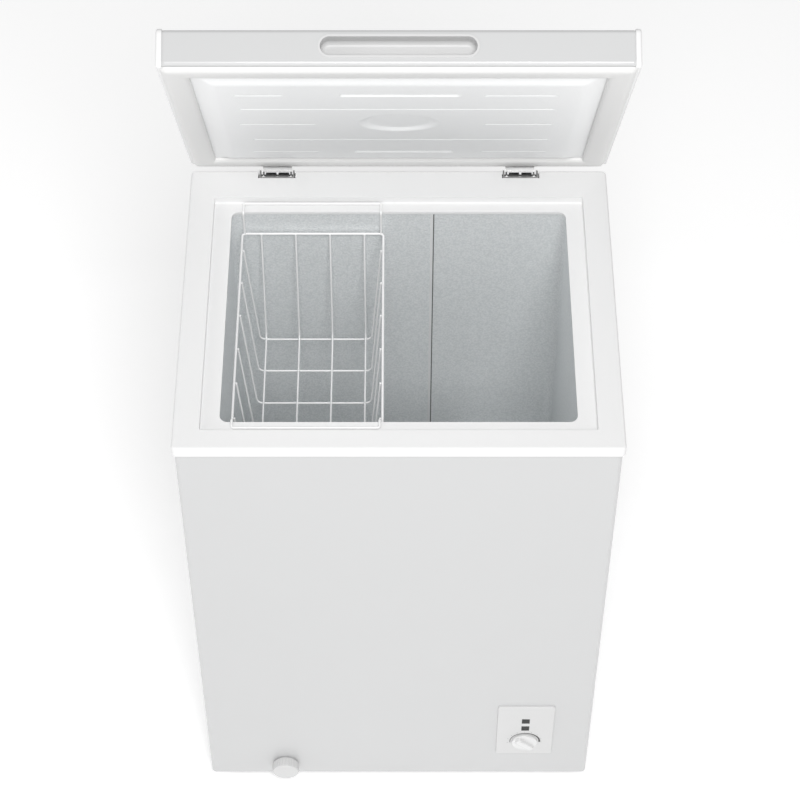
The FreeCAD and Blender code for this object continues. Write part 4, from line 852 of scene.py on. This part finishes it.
# %% [markdown]
# ## Printing on the control panel
# Round the top half of the knob runs a curved scale that grows from a thin line to a bold dark end: colder
# towards the thick end. It is an outline drawn as two arcs and filled, a tenth of a millimetre thick. Short
# ticks stand outside it, copied along the arc by a recipe. There is no lettering.

# %% Scale and ticks
knob_low, knob_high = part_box("control_knob")
knob_x, knob_z = (knob_low.x + knob_high.x) / 2, (knob_low.z + knob_high.z) / 2
face_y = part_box("control_panel")[0].y
INK = 0.08 * MM


def on_face(radius, angle, lift=0.0):
    """A point on the panel's face by radius and clock angle, in degrees from the top."""
    turn = math.radians(angle)
    return Vector((knob_x + radius * math.sin(turn), face_y - lift, knob_z + radius * math.cos(turn)))


def printed(name, outline):
    """A thin filled shape on the panel's face."""
    count = len(outline)
    points = [Vector((p.x, face_y + 0.02 * MM, p.z)) for p in outline]
    points += [Vector((p.x, face_y - INK, p.z)) for p in outline]
    faces = [tuple(range(count)), tuple(range(2 * count - 1, count - 1, -1))]
    faces += [(n, n + count, (n + 1) % count + count, (n + 1) % count) for n in range(count)]
    return outward(mesh_piece(name, points, faces, print_ink))


SCALE_START, SCALE_END, SCALE_INNER = -100, 96, 20.0 * MM
SCALE_THIN, SCALE_SWELL, SCALE_STEPS = 0.9, 1.6, 60       # millimetres, added millimetres, steps of the arc
inner, outer = [], []
for n in range(SCALE_STEPS + 1):
    part = n / SCALE_STEPS
    angle = SCALE_START + part * (SCALE_END - SCALE_START)
    inner.append(on_face(SCALE_INNER, angle))
    outer.append(on_face(SCALE_INNER + (SCALE_THIN + SCALE_SWELL * part ** 1.6) * MM, angle))
finish_piece(printed("panel_scale", inner + outer[::-1]), "root", "black_plastic", smooth=0)


def tick_recipe():
    recipe = Recipe("scale_ticks", Length=1.8 * MM, Width=0.35 * MM, Thick=INK)
    size = recipe.node("ShaderNodeCombineXYZ", feeds={
        0: recipe.size("Width"), 1: recipe.size("Thick"), 2: recipe.size("Length")})
    bar = recipe.node("MeshCube", feeds={"Size": size})
    place = recipe.node("InputPosition")
    middle = recipe.node("ShaderNodeCombineXYZ", feeds={0: knob_x, 1: face_y, 2: knob_z})
    away = recipe.node("ShaderNodeVectorMath", {"operation": "SUBTRACT"}, {0: place, 1: middle})
    aimed = recipe.node("FunctionNodeAlignRotationToVector", {"axis": "Z"}, {"Vector": away})
    copies = recipe.node("InstanceOnPoints", feeds={"Points": recipe.points, "Instance": bar,
                                                    "Rotation": aimed})
    return recipe.finish(copies, print_ink)


TICK_RADIUS, TICKS = 24.2 * MM, 9
tick_angles = np.linspace(SCALE_START, SCALE_END, TICKS)
ticks = grow("panel_ticks", tick_recipe(), [on_face(TICK_RADIUS, a, INK / 4) for a in tick_angles])
finish_piece(ticks, "root", "black_plastic", smooth=0)
